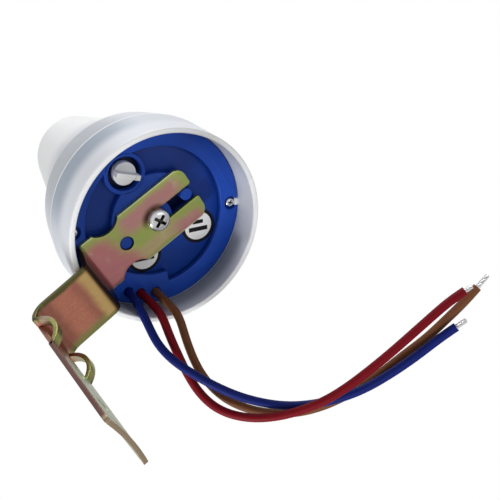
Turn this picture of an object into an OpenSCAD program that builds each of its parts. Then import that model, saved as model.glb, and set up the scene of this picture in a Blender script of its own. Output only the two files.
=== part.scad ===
// Dusk-to-dawn photocell switch on a folded strap bracket.
// The origin is the middle of the two wall holes, on the back of the bracket's leg.
// +Z runs up along the cap to its nose, and the wall stands on the +Y side.

/* [Cap] */
// Outside diameter of the cap at its rim
cap_d = 58; // [54:0.5:62]
// Thickness of the cap's wall
cap_wall = 1.6; // [1.2:0.1:2]
// Height of the straight skirt above the rim
skirt_h = 16; // [14:0.5:18]
// Step in from the rim to the shoulder at the top of the tapered band
band_step = 2.6; // [2:0.1:3.5]
// Height of the shoulder above the rim
shoulder_h = 29.5; // [27:0.5:33]
// Width of the flat shoulder round the nose
shoulder_w = 3.4; // [2.5:0.1:4]
// Diameter of the nose at the centre of its rounded end
nose_end_d = 28.8; // [26:0.2:32]
// Radius that rounds the end of the nose
nose_round = 11; // [8:0.5:12]
// Height of the whole cap
cap_h = 85; // [78:1:92]
// Width of the ledge inside the skirt that the base seats on
ledge_w = 1; // [0.8:0.1:1.5]

/* [Base] */
// Depth of the base's face inside the rim
base_depth = 9.3; // [8.5:0.1:10]
// Thickness of the base's flange
flange_t = 2.4; // [2:0.1:3]
// Gap between the flange and the skirt
flange_gap = 0.3; // [0.2:0.05:0.5]
// Width of the flange from its edge to the recess
flange_w = 5.7; // [5.5:0.1:6]
// Depth of the recess
recess_depth = 2.3; // [1.8:0.1:3]
// Thickness of the recess floor
floor_t = 2; // [1.5:0.1:2.5]
// Thickness of the wall round the recess
recess_wall = 1; // [0.9:0.1:1.2]
// Diameter of the raised seat, which is level with the base's face
seat_d = 27; // [24:0.5:28]
// Distance from the middle to each locating peg
peg_y = 11.2; // [10.5:0.1:11.5]
// Diameter of the locating pegs
peg_d = 3.7; // [3:0.1:4]
// Height of the pegs above the seat
peg_rise = 0.8; // [0.6:0.1:1.2]
// Width of the land that carries the wires
land_w = 3.4; // [2.4:0.1:3.6]
// Angle at which the land begins
land_from = 21; // [18:1:24]
// Angle at which the land ends
land_to = 75; // [68:1:80]

/* [Bracket] */
// Width of the strap
strap_w = 17.8; // [16:0.2:19]
// Thickness of the strap's sheet
strap_t = 1.25; // [1:0.05:1.4]
// Reach of the fork past the middle screw
fork_reach = 14; // [13.5:0.1:15]
// Width of the fork's slot
slot_w = 4.8; // [4.4:0.1:5.2]
// Radius of the fork's outer corners
prong_round = 3.2; // [2:0.1:3.6]
// Radius of the fork's corners beside the slot
mouth_round = 0.8; // [0.4:0.1:1.2]
// Radius of the notch on each side of the waist
waist_r = 5.6; // [5:0.1:6]
// Depth of the waist notches
waist_bite = 2.5; // [2:0.1:3]
// Distance from the middle screw to the waist notches
waist_y = 13.5; // [13:0.1:14]
// Diameter of the hole that takes a locating peg
peg_hole_d = 4.2; // [4.1:0.1:4.6]
// Distance from the skirt's inner wall to the first fold
fold_in = 4.8; // [4.4:0.1:5.4]
// Lean of the riser from upright
riser_lean = 12; // [9:0.5:13]
// Downward tilt of the arm that crosses the rim
arm_tilt = 3.4; // [1:0.2:8]
// Gap between the arm and the rim
rim_gap = 1.5; // [1:0.1:2.5]
// Inside radius of the first fold
fold_round = 1; // [0.6:0.1:1.5]
// Inside radius of the bend into the arm
arm_round = 1.8; // [1.2:0.1:2]
// Inside radius of the bend into the leg
leg_round = 4; // [3:0.1:4.5]
// Distance from the cap's axis to the back of the leg
leg_stand = 44.45; // [42:0.05:48]
// Drop of the leg's end below the rim
leg_drop = 58; // [56:0.5:66]
// Radius of the corners at the leg's end
end_round = 1.2; // [0.5:0.1:2]
// Depth of the hollow pressed into the leg's end to sit on a pole
bow_depth = 0.7; // [0.4:0.1:1]
// Length of the pressed hollow
bow_len = 13.5; // [10:0.5:13.5]

/* [Strap guides] */
// Width of each guide strip
guide_w = 2.45; // [2:0.05:3]
// Height of the guides above the leg
guide_h = 3.6; // [3:0.1:4.2]
// Length of the guides along the leg
guide_len = 14.4; // [12:0.2:15]
// Drop of the guides' middle below the rim
guide_drop = 13.6; // [13.5:0.1:14.5]

/* [Wall holes] */
// Diameter of the wall screw holes
wall_hole_d = 4.4; // [3.5:0.1:5]
// Distance between the wall holes
wall_hole_pitch = 16; // [14:0.5:16]
// Drop of the upper wall hole below the rim
wall_hole_drop = 26; // [25:0.5:26]

/* [Adjuster] */
// Distance of the adjuster's axis from the recess wall
knob_in = 4.3; // [4.1:0.1:4.9]
// Diameter of the adjuster's disc
knob_d = 6.8; // [6.5:0.1:7.4]
// Thickness of the adjuster's disc
knob_t = 2.5; // [2:0.1:2.6]
// Height of the finger grip
grip_h = 3; // [2.5:0.1:3.5]
// Thickness of the finger grip
grip_t = 1.5; // [1.2:0.1:2]
// Length of the finger grip, which stands out past the disc
grip_len = 7.2; // [6.8:0.1:7.6]
// Angle at which the grip rests
grip_angle = -43; // [-90:1:90]
// Gap round the adjuster in its well
well_gap = 1.6; // [1.2:0.05:1.8]
// Thickness of the collar round the well
collar_t = 1.15; // [0.8:0.05:1.3]
// Depth of the disc below the base's face
knob_depth = 0.1; // [0:0.1:0.8]
// Diameter of the adjuster's stem
stem_d = 3.2; // [2.6:0.1:3.6]
// Running clearance of the stem, on the radius
stem_gap = 0.08; // [0.05:0.01:0.1]

/* [Screws] */
// Diameter of the bracket screw's head
main_head_d = 6.8; // [6:0.1:7.2]
// Height of the bracket screw's head
main_head_h = 2.2; // [1.8:0.1:2.6]
// Diameter of the bracket screw's shank
main_shank_d = 3; // [2.5:0.1:3.5]
// Diameter of the cap screws' heads
cap_head_d = 2.8; // [2.6:0.1:3]
// Diameter of the cap screws' shanks
cap_shank_d = 1.8; // [1.5:0.1:2]
// Distance of the cap screws from the flange's edge
cap_screw_in = 2.4; // [2.3:0.1:2.7]
// Angle of the first cap screw
cap_screw_angle = -59.5; // [-64:0.5:-54]
// Clearance of a shank in its hole, on the radius
shank_gap = 0.1; // [0.05:0.05:0.2]

/* [Circuit board] */
// Gap between the board and the ledge round it
board_gap = 1.2; // [0.9:0.1:1.6]
// Thickness of the board
board_t = 1.6; // [1.2:0.1:2]
// Height of the board's underside above the rim
board_z = 20; // [19.5:0.1:20.5]
// Distance of the board's posts from the recess wall
post_in = 2.9; // [2.6:0.1:3.4]
// Diameter of the posts
post_d = 5; // [4.4:0.1:5.4]
// Width, depth and height of the relay
relay_size = [19, 15.4, 15.2]; // [12:0.1:19]
// Width, depth and height of the film capacitor
film_size = [13, 6, 12]; // [4:0.1:14]
// Diameter and height of the electrolytic capacitor
can_size = [8, 11.5]; // [5:0.1:12]
// Diameter and length of a diode, and the span of its leads
diode_size = [2.6, 5.2, 9]; // [2:0.1:10]
// Diameter and length of a resistor, and the span of its leads
resistor_size = [2.3, 6.5, 10]; // [2:0.1:11]
// Diameter and height of the transistor
transistor_size = [4.8, 4.6]; // [4:0.1:5]
// Diameter and thickness of the light sensor
sensor_size = [5.1, 2.1]; // [2:0.1:6]
// Height of the light sensor's face above the board
sensor_rise = 26; // [18:1:34]

/* [Wires] */
// Diameter of each wire over its insulation
wire_d = 2.5; // [2.2:0.1:2.6]
// Diameter of the bare strands
strand_d = 1.4; // [1:0.1:1.8]
// Length of the bare strands of the blue, red and brown wires
strand_len = [3.6, 2.6, 4.6]; // [2:0.2:6]
// Gap round each wire in its hole
wire_gap = 0.2; // [0.1:0.05:0.3]
// Distance of the wire holes from the flange's edge
wire_in = 3.4; // [3.3:0.1:3.6]

/* [Labels] */
// Diameter of each inspection sticker
sticker_d = 10.8; // [9.5:0.1:10.8]
// Thickness of each sticker
sticker_t = 0.12; // [0.1:0.01:0.2]
// Gap between a sticker and the wall beside it
sticker_gap = 0.1; // [0.05:0.05:0.3]

/* [Hidden] */
$fn = 64;

// Overrun of a cut past the face it opens
eps = 0.05;
// Height of the rim above the origin
rim_rise = wall_hole_drop + wall_hole_pitch / 2;

// Cap levels and radii, measured from the middle of the rim
cap_r = cap_d / 2;
skirt_in_r = cap_r - cap_wall;
ledge_r = skirt_in_r - ledge_w;
shoulder_d = cap_d - 2 * band_step;
nose_d = shoulder_d - 2 * shoulder_w;
nose_in_r = nose_d / 2 - cap_wall;
nose_z = cap_h - nose_round;
nose_lean = atan((nose_d - nose_end_d) / 2 / (nose_z - shoulder_h));
nose_mid_r = nose_end_d / 2 - nose_round / cos(nose_lean);

// Base levels, counted upwards from the rim
face_z = base_depth;
seat_z = face_z;
floor_z = face_z + recess_depth;
back_z = floor_z + floor_t;
flange_back_z = face_z + flange_t;
flange_r = skirt_in_r - flange_gap;
recess_r = flange_r - flange_w;
land_r = recess_r - land_w;
cup_r = recess_r + recess_wall;
// Depth that bosses and posts are rooted in the plate they stand on
root = 0.5;
boss_r = 5.3;
seat_edge_x = 4.3;
pocket_w = 6.4;
pocket_z = floor_z + 1;
main_boss_d = 8;
main_boss_z = board_z - 1;

// Cap screws and the lugs that take them
cap_screw_r = flange_r - cap_screw_in;
lug_r = 2.05;
lug_z = flange_back_z + 0.1;
lug_top_z = board_z - 0.8;
cap_head_h = 1.2;
cap_head_sink = 0.2;
cap_head_gap = 0.7;
key_w = 2.2;
key_gap = 0.2;
key_from_r = cap_screw_r + cap_head_d / 2 + key_gap;
key_to_r = skirt_in_r + cap_wall / 2;

// Adjuster
knob_x = recess_r - knob_in;
well_r = knob_d / 2 + well_gap;
collar_r = well_r + collar_t;
knob_face_z = face_z + knob_depth;
knob_back_z = knob_face_z + knob_t;
well_z = knob_back_z + 0.5;
well_floor_t = 1.5;
pot_h = board_z - well_z - well_floor_t - 0.6;
pot_w = 9.5;
stem_in_pot = 2;

// How much flatter a screw head is than a full dome
head_flatness = 2;

// Board
board_r = ledge_r - board_gap;
board_top_z = board_z + board_t;
post_r = recess_r - post_in;
post_angles = [90, 210, 330];
board_head_d = 4.2;
board_head_h = 1.6;
board_shank_d = 2.2;
lead_d = 0.7;
sensor_lead_d = 0.6;
sensor_pitch = 3.4;
transistor_pitch = 1.27;
transistor_rise = 3;
axial_gap = 0.4;
axial_pitch = 3.2;
// Places of the parts on the board, from the axis
relay_at = [3, 3];
film_at = [-4, 8.4 - nose_in_r];
can_at = [7.5, 8.4 - nose_in_r];
diodes_at = [6.2 - board_r, 11];
resistors_at = [board_r - 9, 3];
transistor_at = [-12, -2];
sensor_at = [-11, 4];

// Bracket: middle line of the strap in the plane of the fold, as [out, up]
fold_y = skirt_in_r - fold_in;
fork_z = seat_z - strap_t / 2;
arm_slope = tan(arm_tilt);
arm_rim_z = -(rim_gap + strap_t / 2);
riser_len = (fork_z - arm_rim_z + arm_slope * (fold_y - skirt_in_r))
    / (cos(riser_lean) - arm_slope * sin(riser_lean));
riser_end = [fold_y + riser_len * sin(riser_lean), fork_z - riser_len * cos(riser_lean)];
arm_end_y = leg_stand - strap_t / 2;
arm_end = [arm_end_y, arm_rim_z - arm_slope * (arm_end_y - skirt_in_r)];
riser_heading = 90 - riser_lean;

// Headings along the strap count downwards from level; each bend is cut in short steps
bend_steps = 12;
function along(heading) = [cos(heading), -sin(heading)];
function below(heading) = [-sin(heading), -cos(heading)];
function bend_stations(corner, from, to, inside) =
    let (way = sign(to - from), mid = inside + strap_t / 2)
        let (middle = corner - mid * tan(abs(to - from) / 2) * along(from) + way * mid * below(from))
            [for (k = [0 : bend_steps])
                let (h = from + (to - from) * k / bend_steps) [middle - way * mid * below(h), h]];
strap_stations = concat(
    [[[-fork_reach, fork_z], 0]],
    bend_stations([fold_y, fork_z], 0, riser_heading, fold_round),
    bend_stations(riser_end, riser_heading, arm_tilt, arm_round),
    bend_stations(arm_end, arm_tilt, 90, leg_round),
    [[[arm_end_y, -leg_drop], 90]]
);
// Pressed end: radius of the pole that makes the hollow, and its lean along the leg
bow_half = strap_w / 2 - 0.6;
bow_r = (bow_half * bow_half + bow_depth * bow_depth) / (2 * bow_depth);
bow_lean = atan(bow_depth / bow_len);

// Strap guides: arc through the leg's face, as seen from the side
guide_r = (guide_len * guide_len / 4 + guide_h * guide_h) / (2 * guide_h);
guide_mid_z = guide_r - guide_h - strap_t / 2;
lance_gap = 0.15;
guide_gap_half = sqrt(pow(guide_r - strap_t, 2) - pow(guide_mid_z - strap_t / 2, 2)) + 0.2;

// Wire holes, by angle round the axis
wire_r = flange_r - wire_in;
wire_angles = [54.5, 44.6, 32.7];
wire_hole_r = wire_d / 2 + wire_gap;

// Stickers in the recess, by distance and angle: beside its wall, and beside the land
sticker_spots = [
    [recess_r - sticker_d / 2 - sticker_gap, -36.4],
    [land_r - sticker_d / 2 - sticker_gap, 45.2]
];

// Free routes of the wires, from the middle wire hole in the base's face
blue_route = [
    [-2.9, 2.8, -5.8], [1.6, 4.8, -12.8], [5.1, 6.3, -16.8], [8.6, 6.3, -21.8], [12.6, 4.8, -26.8],
    [17.6, 2.3, -31.8], [23.6, -1.2, -36.3], [29.1, -6.2, -40.8], [32.6, -11.7, -45.3], [34.6, -19.2, -50.3],
    [35.1, -27.2, -54.8], [34.1, -35.7, -58.3], [32.6, -44.2, -61.3], [31.1, -51.2, -63.3], [30.1, -56.7, -65.3]
];
red_route = [
    [0.1, -0.2, -5.8], [2.1, -0.2, -12.3], [5.6, 1.8, -15.8], [11.1, 3.8, -19.8], [17.1, 5.8, -24.8],
    [22.1, 6.3, -29.3], [26, 4.8, -34.4], [28.9, 0.3, -40.5], [30.9, -5.7, -45], [31.8, -11.7, -48.5],
    [31.8, -19.6, -52.5], [30.3, -29.1, -55.5], [28.4, -39.1, -58], [27, -46.2, -59.4], [25.6, -53.2, -60.8],
    [24.1, -59.2, -62.3], [23.6, -64.2, -63.8]
];
brown_route = [
    [3.1, -3.7, -5.8], [5.6, -4.2, -12.3], [10.1, -1.7, -15.3], [15.1, 0.8, -19.3], [19.6, 2.3, -23.3],
    [24.1, 2.3, -27.8], [28.1, 0.8, -32.3], [32.3, -3.2, -37.6], [35.5, -8.8, -42.4], [37.3, -15.8, -46.7],
    [37.5, -24.4, -50.5], [36, -33.4, -54], [33.5, -43, -57], [32, -49.5, -59.5], [29.7, -56.7, -61.3],
    [27.7, -62.9, -62.9], [26.1, -68.2, -63.5]
];

// Moves a piece drawn round the cap's axis, from the rim upwards, to its place
module on_axis() { translate([0, -leg_stand, rim_rise]) children(); }

// Places a copy at a distance and angle from the axis
module around(r, angle, z = 0) { rotate([0, 0, angle]) translate([r, 0, z]) children(); }

// Flat wedge between two angles, wide enough to pass the base's edge
module wedge(from, to) {
    far = cap_d;
    mid = (from + to) / 2;
    polygon([
        [0, 0],
        far * [cos(from), sin(from)],
        far * [cos(mid), sin(mid)],
        far * [cos(to), sin(to)]
    ]);
}

// Corner waste: what a round of radius r leaves of its square
module corner_waste(r) {
    difference() {
        translate([-eps, -eps]) square(r + eps);
        translate([r, r]) circle(r);
    }
}

// Closed skin through rings of points, each ring with as many points as the next
module skin(rings) {
    n = len(rings[0]);
    last = len(rings) - 1;
    points = [for (ring = rings) each ring];
    sides = [
        for (k = [0 : last - 1], i = [0 : n - 1])
            let (a = k * n + i, b = k * n + (i + 1) % n)
                each [[a, b, b + n], [a, b + n, a + n]]
    ];
    start = [for (i = [n - 1 : -1 : 0]) i];
    end = [for (i = [0 : n - 1]) last * n + i];
    polyhedron(points, concat([start], sides, [end]));
}

// Round tube swept along a route
function unit(v) = v / norm(v);
function heading(route, k) =
    k == 0 ? unit(route[1] - route[0])
    : k == len(route) - 1 ? unit(route[k] - route[k - 1])
    : unit(unit(route[k + 1] - route[k]) + unit(route[k] - route[k - 1]));
function tube_ring(route, k, r, sides) =
    let (t = heading(route, k), u = unit(cross(t, [1, 0, 0])), v = cross(t, u))
        [for (i = [0 : sides - 1])
            let (a = 360 * i / sides) route[k] + r * (cos(a) * u + sin(a) * v)];
module tube(route, d, sides = 8) {
    skin([for (k = [0 : len(route) - 1]) tube_ring(route, k, d / 2, sides)]);
}

// Screw standing head down: its shank points up from z = 0
module pan_screw(head_d, head_h, shank_d, shank_l, cross_w) {
    dome_r = (head_d * head_d / 4 + head_h * head_h) / (2 * head_h) * head_flatness;
    difference() {
        intersection() {
            translate([0, 0, -head_h]) cylinder(d = head_d, h = head_h);
            translate([0, 0, dome_r - head_h]) sphere(dome_r);
        }
        for (turn = [0, 90]) rotate([0, 0, turn])
            translate([-head_d * 0.3, -cross_w / 2, -head_h - eps])
                cube([head_d * 0.6, cross_w, head_h * 0.55]);
    }
    cylinder(d = shank_d, h = shank_l);
}

// Outside form of the cap, shrunk by an inset for the hollow
module cap_form(inset) {
    band = (shoulder_d - cap_d) / 2 / (shoulder_h - skirt_h);
    band_h = shoulder_h - inset - skirt_h;
    join_z = nose_z + nose_round * sin(nose_lean);
    join_r = nose_mid_r + nose_round * cos(nose_lean);
    cylinder(r = cap_r - inset, h = skirt_h);
    translate([0, 0, skirt_h])
        cylinder(r1 = cap_r - inset, r2 = cap_r - inset + band * band_h, h = band_h);
    translate([0, 0, shoulder_h - inset])
        cylinder(
            r1 = nose_d / 2 - inset,
            r2 = join_r - inset * cos(nose_lean),
            h = join_z - shoulder_h + inset
        );
    rotate_extrude() intersection() {
        translate([nose_mid_r, nose_z]) circle(nose_round - inset);
        translate([0, nose_z - nose_round]) square(2 * nose_round + nose_mid_r);
    }
    translate([0, 0, nose_z]) cylinder(r = nose_mid_r, h = nose_round - inset);
}

// Lug inside the skirt for a cap screw, with the key that fills the flange's slot
module cap_lug() {
    translate([cap_screw_r, 0, lug_z]) cylinder(r = lug_r, h = lug_top_z - lug_z);
    translate([cap_screw_r, -lug_r, lug_z])
        cube([ledge_r + ledge_w / 2 - cap_screw_r, 2 * lug_r, lug_top_z - lug_z]);
    translate([key_from_r, -key_w / 2, face_z + cap_head_sink])
        cube([key_to_r - key_from_r, key_w, flange_t + 1]);
}

module cap() {
    color("whitesmoke") on_axis() difference() {
        union() {
            difference() {
                cap_form(0);
                intersection() {
                    cap_form(cap_wall);
                    union() {
                        translate([0, 0, flange_back_z]) cylinder(r = ledge_r, h = cap_h);
                        translate([0, 0, -eps]) cylinder(r = skirt_in_r, h = flange_back_z + eps);
                    }
                }
                translate([0, 0, -eps]) cylinder(r = skirt_in_r, h = flange_back_z);
            }
            for (turn = [0, 180]) rotate([0, 0, cap_screw_angle + turn]) cap_lug();
        }
        for (turn = [0, 180]) around(cap_screw_r, cap_screw_angle + turn, flange_back_z - eps)
            cylinder(r = cap_shank_d / 2 + shank_gap / 2, h = lug_top_z - flange_back_z - 1);
    }
}

// Outline of the recess: a disc without the land that carries the wires
module recess_outline() {
    difference() {
        circle(recess_r);
        difference() {
            wedge(land_from, land_to);
            circle(land_r);
        }
    }
}

// Outline of the raised seat: a disc cut straight under the bracket, clear of the stickers, with a pocket
module seat_outline() {
    difference() {
        intersection() {
            circle(d = seat_d);
            translate([seat_edge_x - seat_d, -seat_d / 2]) square(seat_d);
        }
        pocket_outline();
        for (spot = sticker_spots) rotate([0, 0, spot[1]]) translate([spot[0], 0])
            circle(d = sticker_d + 2 * sticker_gap);
    }
}

// Outline of the pocket between the screw boss and the peg in the fork
module pocket_outline() {
    difference() {
        translate([-pocket_w / 2, -seat_d / 2 - eps]) square([pocket_w, seat_d / 2]);
        circle(boss_r);
    }
}

// Flange notch for a cap screw and the cap's key
module cap_screw_notch() {
    translate([cap_screw_r, 0, face_z - eps])
        cylinder(d = cap_head_d + 2 * cap_head_gap, h = cap_head_h + cap_head_sink + eps);
    translate([cap_screw_r, 0, face_z - eps])
        cylinder(r = cap_shank_d / 2 + shank_gap, h = flange_t + 2 * eps);
    translate([key_from_r - key_gap, -key_w / 2 - key_gap, face_z - eps])
        cube([key_to_r - key_from_r, key_w + 2 * key_gap, flange_t + 2 * eps]);
}

module base_solid() {
    difference() {
        union() {
            translate([0, 0, face_z]) cylinder(r = flange_r, h = flange_t);
            translate([0, 0, face_z]) cylinder(r = cup_r, h = back_z - face_z);
        }
        translate([0, 0, face_z - eps]) linear_extrude(recess_depth + eps) recess_outline();
        translate([0, 0, floor_z - eps]) linear_extrude(pocket_z - floor_z + eps) pocket_outline();
    }
    translate([0, 0, seat_z]) linear_extrude(floor_z - seat_z + eps) seat_outline();
    for (side = [-1, 1])
        translate([0, side * peg_y, seat_z - peg_rise])
            cylinder(d = peg_d, h = back_z - root - seat_z + peg_rise);
    translate([0, 0, seat_z]) cylinder(r = boss_r, h = floor_z - seat_z + eps);
    translate([0, 0, back_z - root]) cylinder(d = main_boss_d, h = main_boss_z - back_z + root);
    translate([-knob_x, 0, face_z]) cylinder(r = collar_r, h = well_z + well_floor_t - face_z);
    for (angle = post_angles) around(post_r, angle, back_z - root)
        cylinder(d = post_d, h = board_z - back_z + root);
}

module base() {
    color("royalblue") on_axis() difference() {
        base_solid();
        translate([0, 0, seat_z - eps])
            cylinder(r = main_shank_d / 2 + shank_gap / 2, h = main_boss_z - seat_z - 1);
        translate([-knob_x, 0, face_z - eps]) cylinder(r = well_r, h = well_z - face_z + eps);
        translate([-knob_x, 0, well_z - eps])
            cylinder(r = stem_d / 2 + stem_gap, h = well_floor_t + 2 * eps);
        for (angle = wire_angles) around(wire_r, angle, face_z - eps)
            cylinder(r = wire_hole_r, h = back_z - face_z + 2 * eps);
        for (turn = [0, 180]) rotate([0, 0, cap_screw_angle + turn]) cap_screw_notch();
        for (angle = post_angles) around(post_r, angle, floor_z + 1)
            cylinder(r = board_shank_d / 2 + shank_gap / 2, h = board_z - floor_z);
    }
}

// Whole strap seen from the side, before its fork, holes and guides are cut
module strap() {
    last = len(strap_stations) - 1;
    upper = [for (s = strap_stations) s[0] - strap_t / 2 * below(s[1])];
    lower = [for (k = [last : -1 : 0]) strap_stations[k][0] + strap_t / 2 * below(strap_stations[k][1])];
    rotate([90, 0, 90]) linear_extrude(strap_w, center = true) polygon(concat(upper, lower));
}

// What the fork's outline leaves out: the slot, the peg's hole, the corners and the waist
module fork_waste() {
    translate([-slot_w / 2, -fork_reach - eps]) square([slot_w, fork_reach + eps]);
    circle(d = slot_w);
    translate([0, peg_y]) circle(d = peg_hole_d);
    for (side = [0, 1]) mirror([side, 0]) {
        translate([-strap_w / 2, -fork_reach]) corner_waste(prong_round);
        translate([-slot_w / 2, -fork_reach]) mirror([1, 0]) corner_waste(mouth_round);
        translate([waist_r - waist_bite + strap_w / 2, waist_y]) circle(waist_r);
    }
}

// Turns a piece drawn on the leg so that its y counts down from the rim and its z points to the wall
module on_leg() { translate([0, arm_end_y, 0]) rotate([-90, 0, 0]) children(); }

// Strap guide on one edge of the leg, lanced out of the sheet and pushed inwards
module guide() {
    rotate([90, 0, 90]) linear_extrude(guide_w) intersection() {
        translate([0, guide_mid_z]) difference() {
            circle(guide_r);
            circle(guide_r - strap_t);
        }
        translate([-guide_r, strap_t / 2 - 2 * guide_r]) square(2 * guide_r);
    }
}

// Leaning pole that touches a face of the leg where the pressed end begins
module bow_pole(face) {
    translate([0, leg_drop - bow_len, face]) rotate([-90 - bow_lean, 0, 0])
        translate([0, -bow_r, -bow_len]) cylinder(r = bow_r, h = 3 * bow_len, $fn = 256);
}

// Swelling that the pressed hollow raises on the leg's inner face
module bow_swelling() {
    intersection() {
        bow_pole(-strap_t / 2);
        translate([-strap_w / 2, leg_drop - 1.4 * bow_len, -strap_t / 2 - 2 * bow_depth])
            cube([strap_w, 1.4 * bow_len, 2 * bow_depth + strap_t / 2]);
    }
}

// What is cut from the leg: the gaps under the guides, the wall holes, the corners and the pressed hollow
module leg_waste() {
    bow_pole(strap_t / 2);
    for (side = [0, 1]) mirror([side, 0, 0])
        translate([-strap_w / 2, leg_drop, -2 * strap_t]) linear_extrude(4 * strap_t)
            mirror([0, 1]) corner_waste(end_round);
    for (side = [0, 1]) mirror([side, 0, 0])
        translate([strap_w / 2 - guide_w - lance_gap, guide_drop - guide_gap_half, -strap_t])
            cube([guide_w + lance_gap + eps, 2 * guide_gap_half, 2 * strap_t]);
    for (drop = [wall_hole_drop, wall_hole_drop + wall_hole_pitch])
        translate([0, drop, -strap_t]) cylinder(d = wall_hole_d, h = 2 * strap_t);
}

module bracket() {
    color("darkkhaki") on_axis() {
        difference() {
            union() {
                strap();
                on_leg() bow_swelling();
            }
            translate([0, 0, fork_z - strap_t]) linear_extrude(2 * strap_t) fork_waste();
            on_leg() leg_waste();
        }
        on_leg() for (side = [0, 1]) mirror([side, 0, 0])
            translate([strap_w / 2 - guide_w, guide_drop, 0]) guide();
    }
}

module bracket_screw() {
    color("silver") on_axis() translate([0, 0, seat_z - strap_t])
        pan_screw(main_head_d, main_head_h, main_shank_d, main_boss_z - seat_z - 1, 0.9);
}

module cap_screws() {
    color("silver") on_axis() for (turn = [0, 180])
        around(cap_screw_r, cap_screw_angle + turn, face_z + cap_head_sink + cap_head_h)
            pan_screw(cap_head_d, cap_head_h, cap_shank_d, lug_top_z - flange_back_z - 1, 0.6);
}

module adjust_knob() {
    color("white") on_axis() translate([-knob_x, 0, knob_face_z]) rotate([0, 0, grip_angle]) {
        cylinder(d = knob_d, h = knob_t);
        cylinder(d = stem_d, h = board_z - pot_h + stem_in_pot - knob_face_z);
        difference() {
            translate([-grip_len / 2, -grip_t / 2, -grip_h]) cube([grip_len, grip_t, grip_h + root]);
            translate([grip_len / 2 - grip_t, 0, -grip_h - eps]) cylinder(d = grip_t / 2, h = 0.5 + eps);
        }
    }
}

module potentiometer() {
    color("steelblue") on_axis() translate([-knob_x, 0, board_z - pot_h]) difference() {
        translate([-pot_w / 2, -pot_w / 2, 0]) cube([pot_w, pot_w, pot_h]);
        translate([0, 0, -eps]) cylinder(r = stem_d / 2 + stem_gap, h = stem_in_pot + 0.3 + eps);
    }
}

module circuit_board() {
    color("darkgoldenrod") on_axis() translate([0, 0, board_z]) difference() {
        cylinder(r = board_r, h = board_t);
        for (angle = post_angles) around(post_r, angle, -eps)
            cylinder(r = board_shank_d / 2 + shank_gap, h = board_t + 2 * eps);
    }
}

module board_screws() {
    color("silver") on_axis() for (angle = post_angles) around(post_r, angle, board_top_z)
        rotate([180, 0, 0]) pan_screw(board_head_d, board_head_h, board_shank_d, board_t + 4, 0.7);
}

// Places a part on the board, at its spot or further along x
module on_board(spot, x = 0) { on_axis() translate([spot[0] + x, spot[1], board_top_z]) children(); }

module relay() {
    color("royalblue") on_board(relay_at)
        translate([-relay_size[0] / 2, -relay_size[1] / 2, 0]) cube(relay_size);
}

module film_capacitor() {
    color("gold") on_board(film_at)
        translate([-film_size[0] / 2, -film_size[1] / 2, 0]) cube(film_size);
}

module electrolytic_capacitor() {
    color("dimgray") on_board(can_at) cylinder(d = can_size[0], h = can_size[1]);
}

// Part with a lead at each end, lying over the board along y
module axial_part(size) {
    span = size[2];
    rise = size[0] / 2 + axial_gap;
    translate([0, 0, rise]) rotate([90, 0, 0]) cylinder(d = size[0], h = size[1], center = true);
    translate([0, 0, rise]) rotate([90, 0, 0]) cylinder(d = lead_d, h = span, center = true);
    for (side = [-1, 1]) translate([0, side * (span - lead_d) / 2, 0]) cylinder(d = lead_d, h = rise);
}

module rectifier_diodes() {
    color("black") for (k = [0 : 3]) on_board(diodes_at, k * axial_pitch) axial_part(diode_size);
}

module resistors() {
    color("tan") for (k = [0, 1]) on_board(resistors_at, k * axial_pitch) axial_part(resistor_size);
}

module transistor() {
    d = transistor_size[0];
    color("black") on_board(transistor_at) {
        translate([0, 0, transistor_rise]) intersection() {
            cylinder(d = d, h = transistor_size[1]);
            translate([-d / 2, -d / 2, 0]) cube([d, d * 0.83, transistor_size[1]]);
        }
        for (k = [-1, 0, 1]) translate([k * transistor_pitch, 0, 0])
            cylinder(d = lead_d * 0.7, h = transistor_rise + 2 * eps);
    }
}

module light_sensor() {
    color("orange") on_board(sensor_at) translate([0, 0, sensor_rise])
        cylinder(d = sensor_size[0], h = sensor_size[1]);
}

module sensor_leads() {
    color("silver") for (side = [-1, 1]) on_board(sensor_at, side * sensor_pitch / 2)
        cylinder(d = sensor_lead_d, h = sensor_rise);
}

module solder_joints() {
    color("lightgray") for (angle = wire_angles) on_axis() around(wire_r, angle, board_top_z)
        cylinder(r1 = 1.3, r2 = 0.6, h = 1.2);
}

module inspection_stickers() {
    color("white") on_axis() for (spot = sticker_spots)
        around(spot[0], spot[1], floor_z - sticker_t) cylinder(d = sticker_d, h = sticker_t);
}

// Point on the middle line of a wire hole, at a height above the rim
function hole_at(angle, z) = [wire_r * cos(angle), wire_r * sin(angle) - leg_stand, rim_rise + z];
// Whole route of a wire: down from the board through its hole, then free
function wire_route(angle, free) =
    let (from = hole_at(wire_angles[1], face_z))
        concat([hole_at(angle, board_z), hole_at(angle, face_z)], [for (p = free) from + p]);
// Bare end of a wire, straight on from its insulation
function strand_route(free, length) =
    let (from = hole_at(wire_angles[1], face_z), n = len(free) - 1, t = unit(free[n] - free[n - 1]))
        [from + free[n], from + free[n] + length * t];

module blue_wire() { color("navy") tube(wire_route(wire_angles[0], blue_route), wire_d); }
module red_wire() { color("crimson") tube(wire_route(wire_angles[1], red_route), wire_d); }
module brown_wire() { color("sienna") tube(wire_route(wire_angles[2], brown_route), wire_d); }
module blue_strands() { color("silver") tube(strand_route(blue_route, strand_len[0]), strand_d); }
module red_strands() { color("silver") tube(strand_route(red_route, strand_len[1]), strand_d); }
module brown_strands() { color("silver") tube(strand_route(brown_route, strand_len[2]), strand_d); }

cap();
base();
bracket();
bracket_screw();
cap_screws();
adjust_knob();
potentiometer();
circuit_board();
board_screws();
relay();
film_capacitor();
electrolytic_capacitor();
rectifier_diodes();
resistors();
transistor();
light_sensor();
sensor_leads();
solder_joints();
inspection_stickers();
blue_wire();
red_wire();
brown_wire();
blue_strands();
red_strands();
brown_strands();
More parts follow.
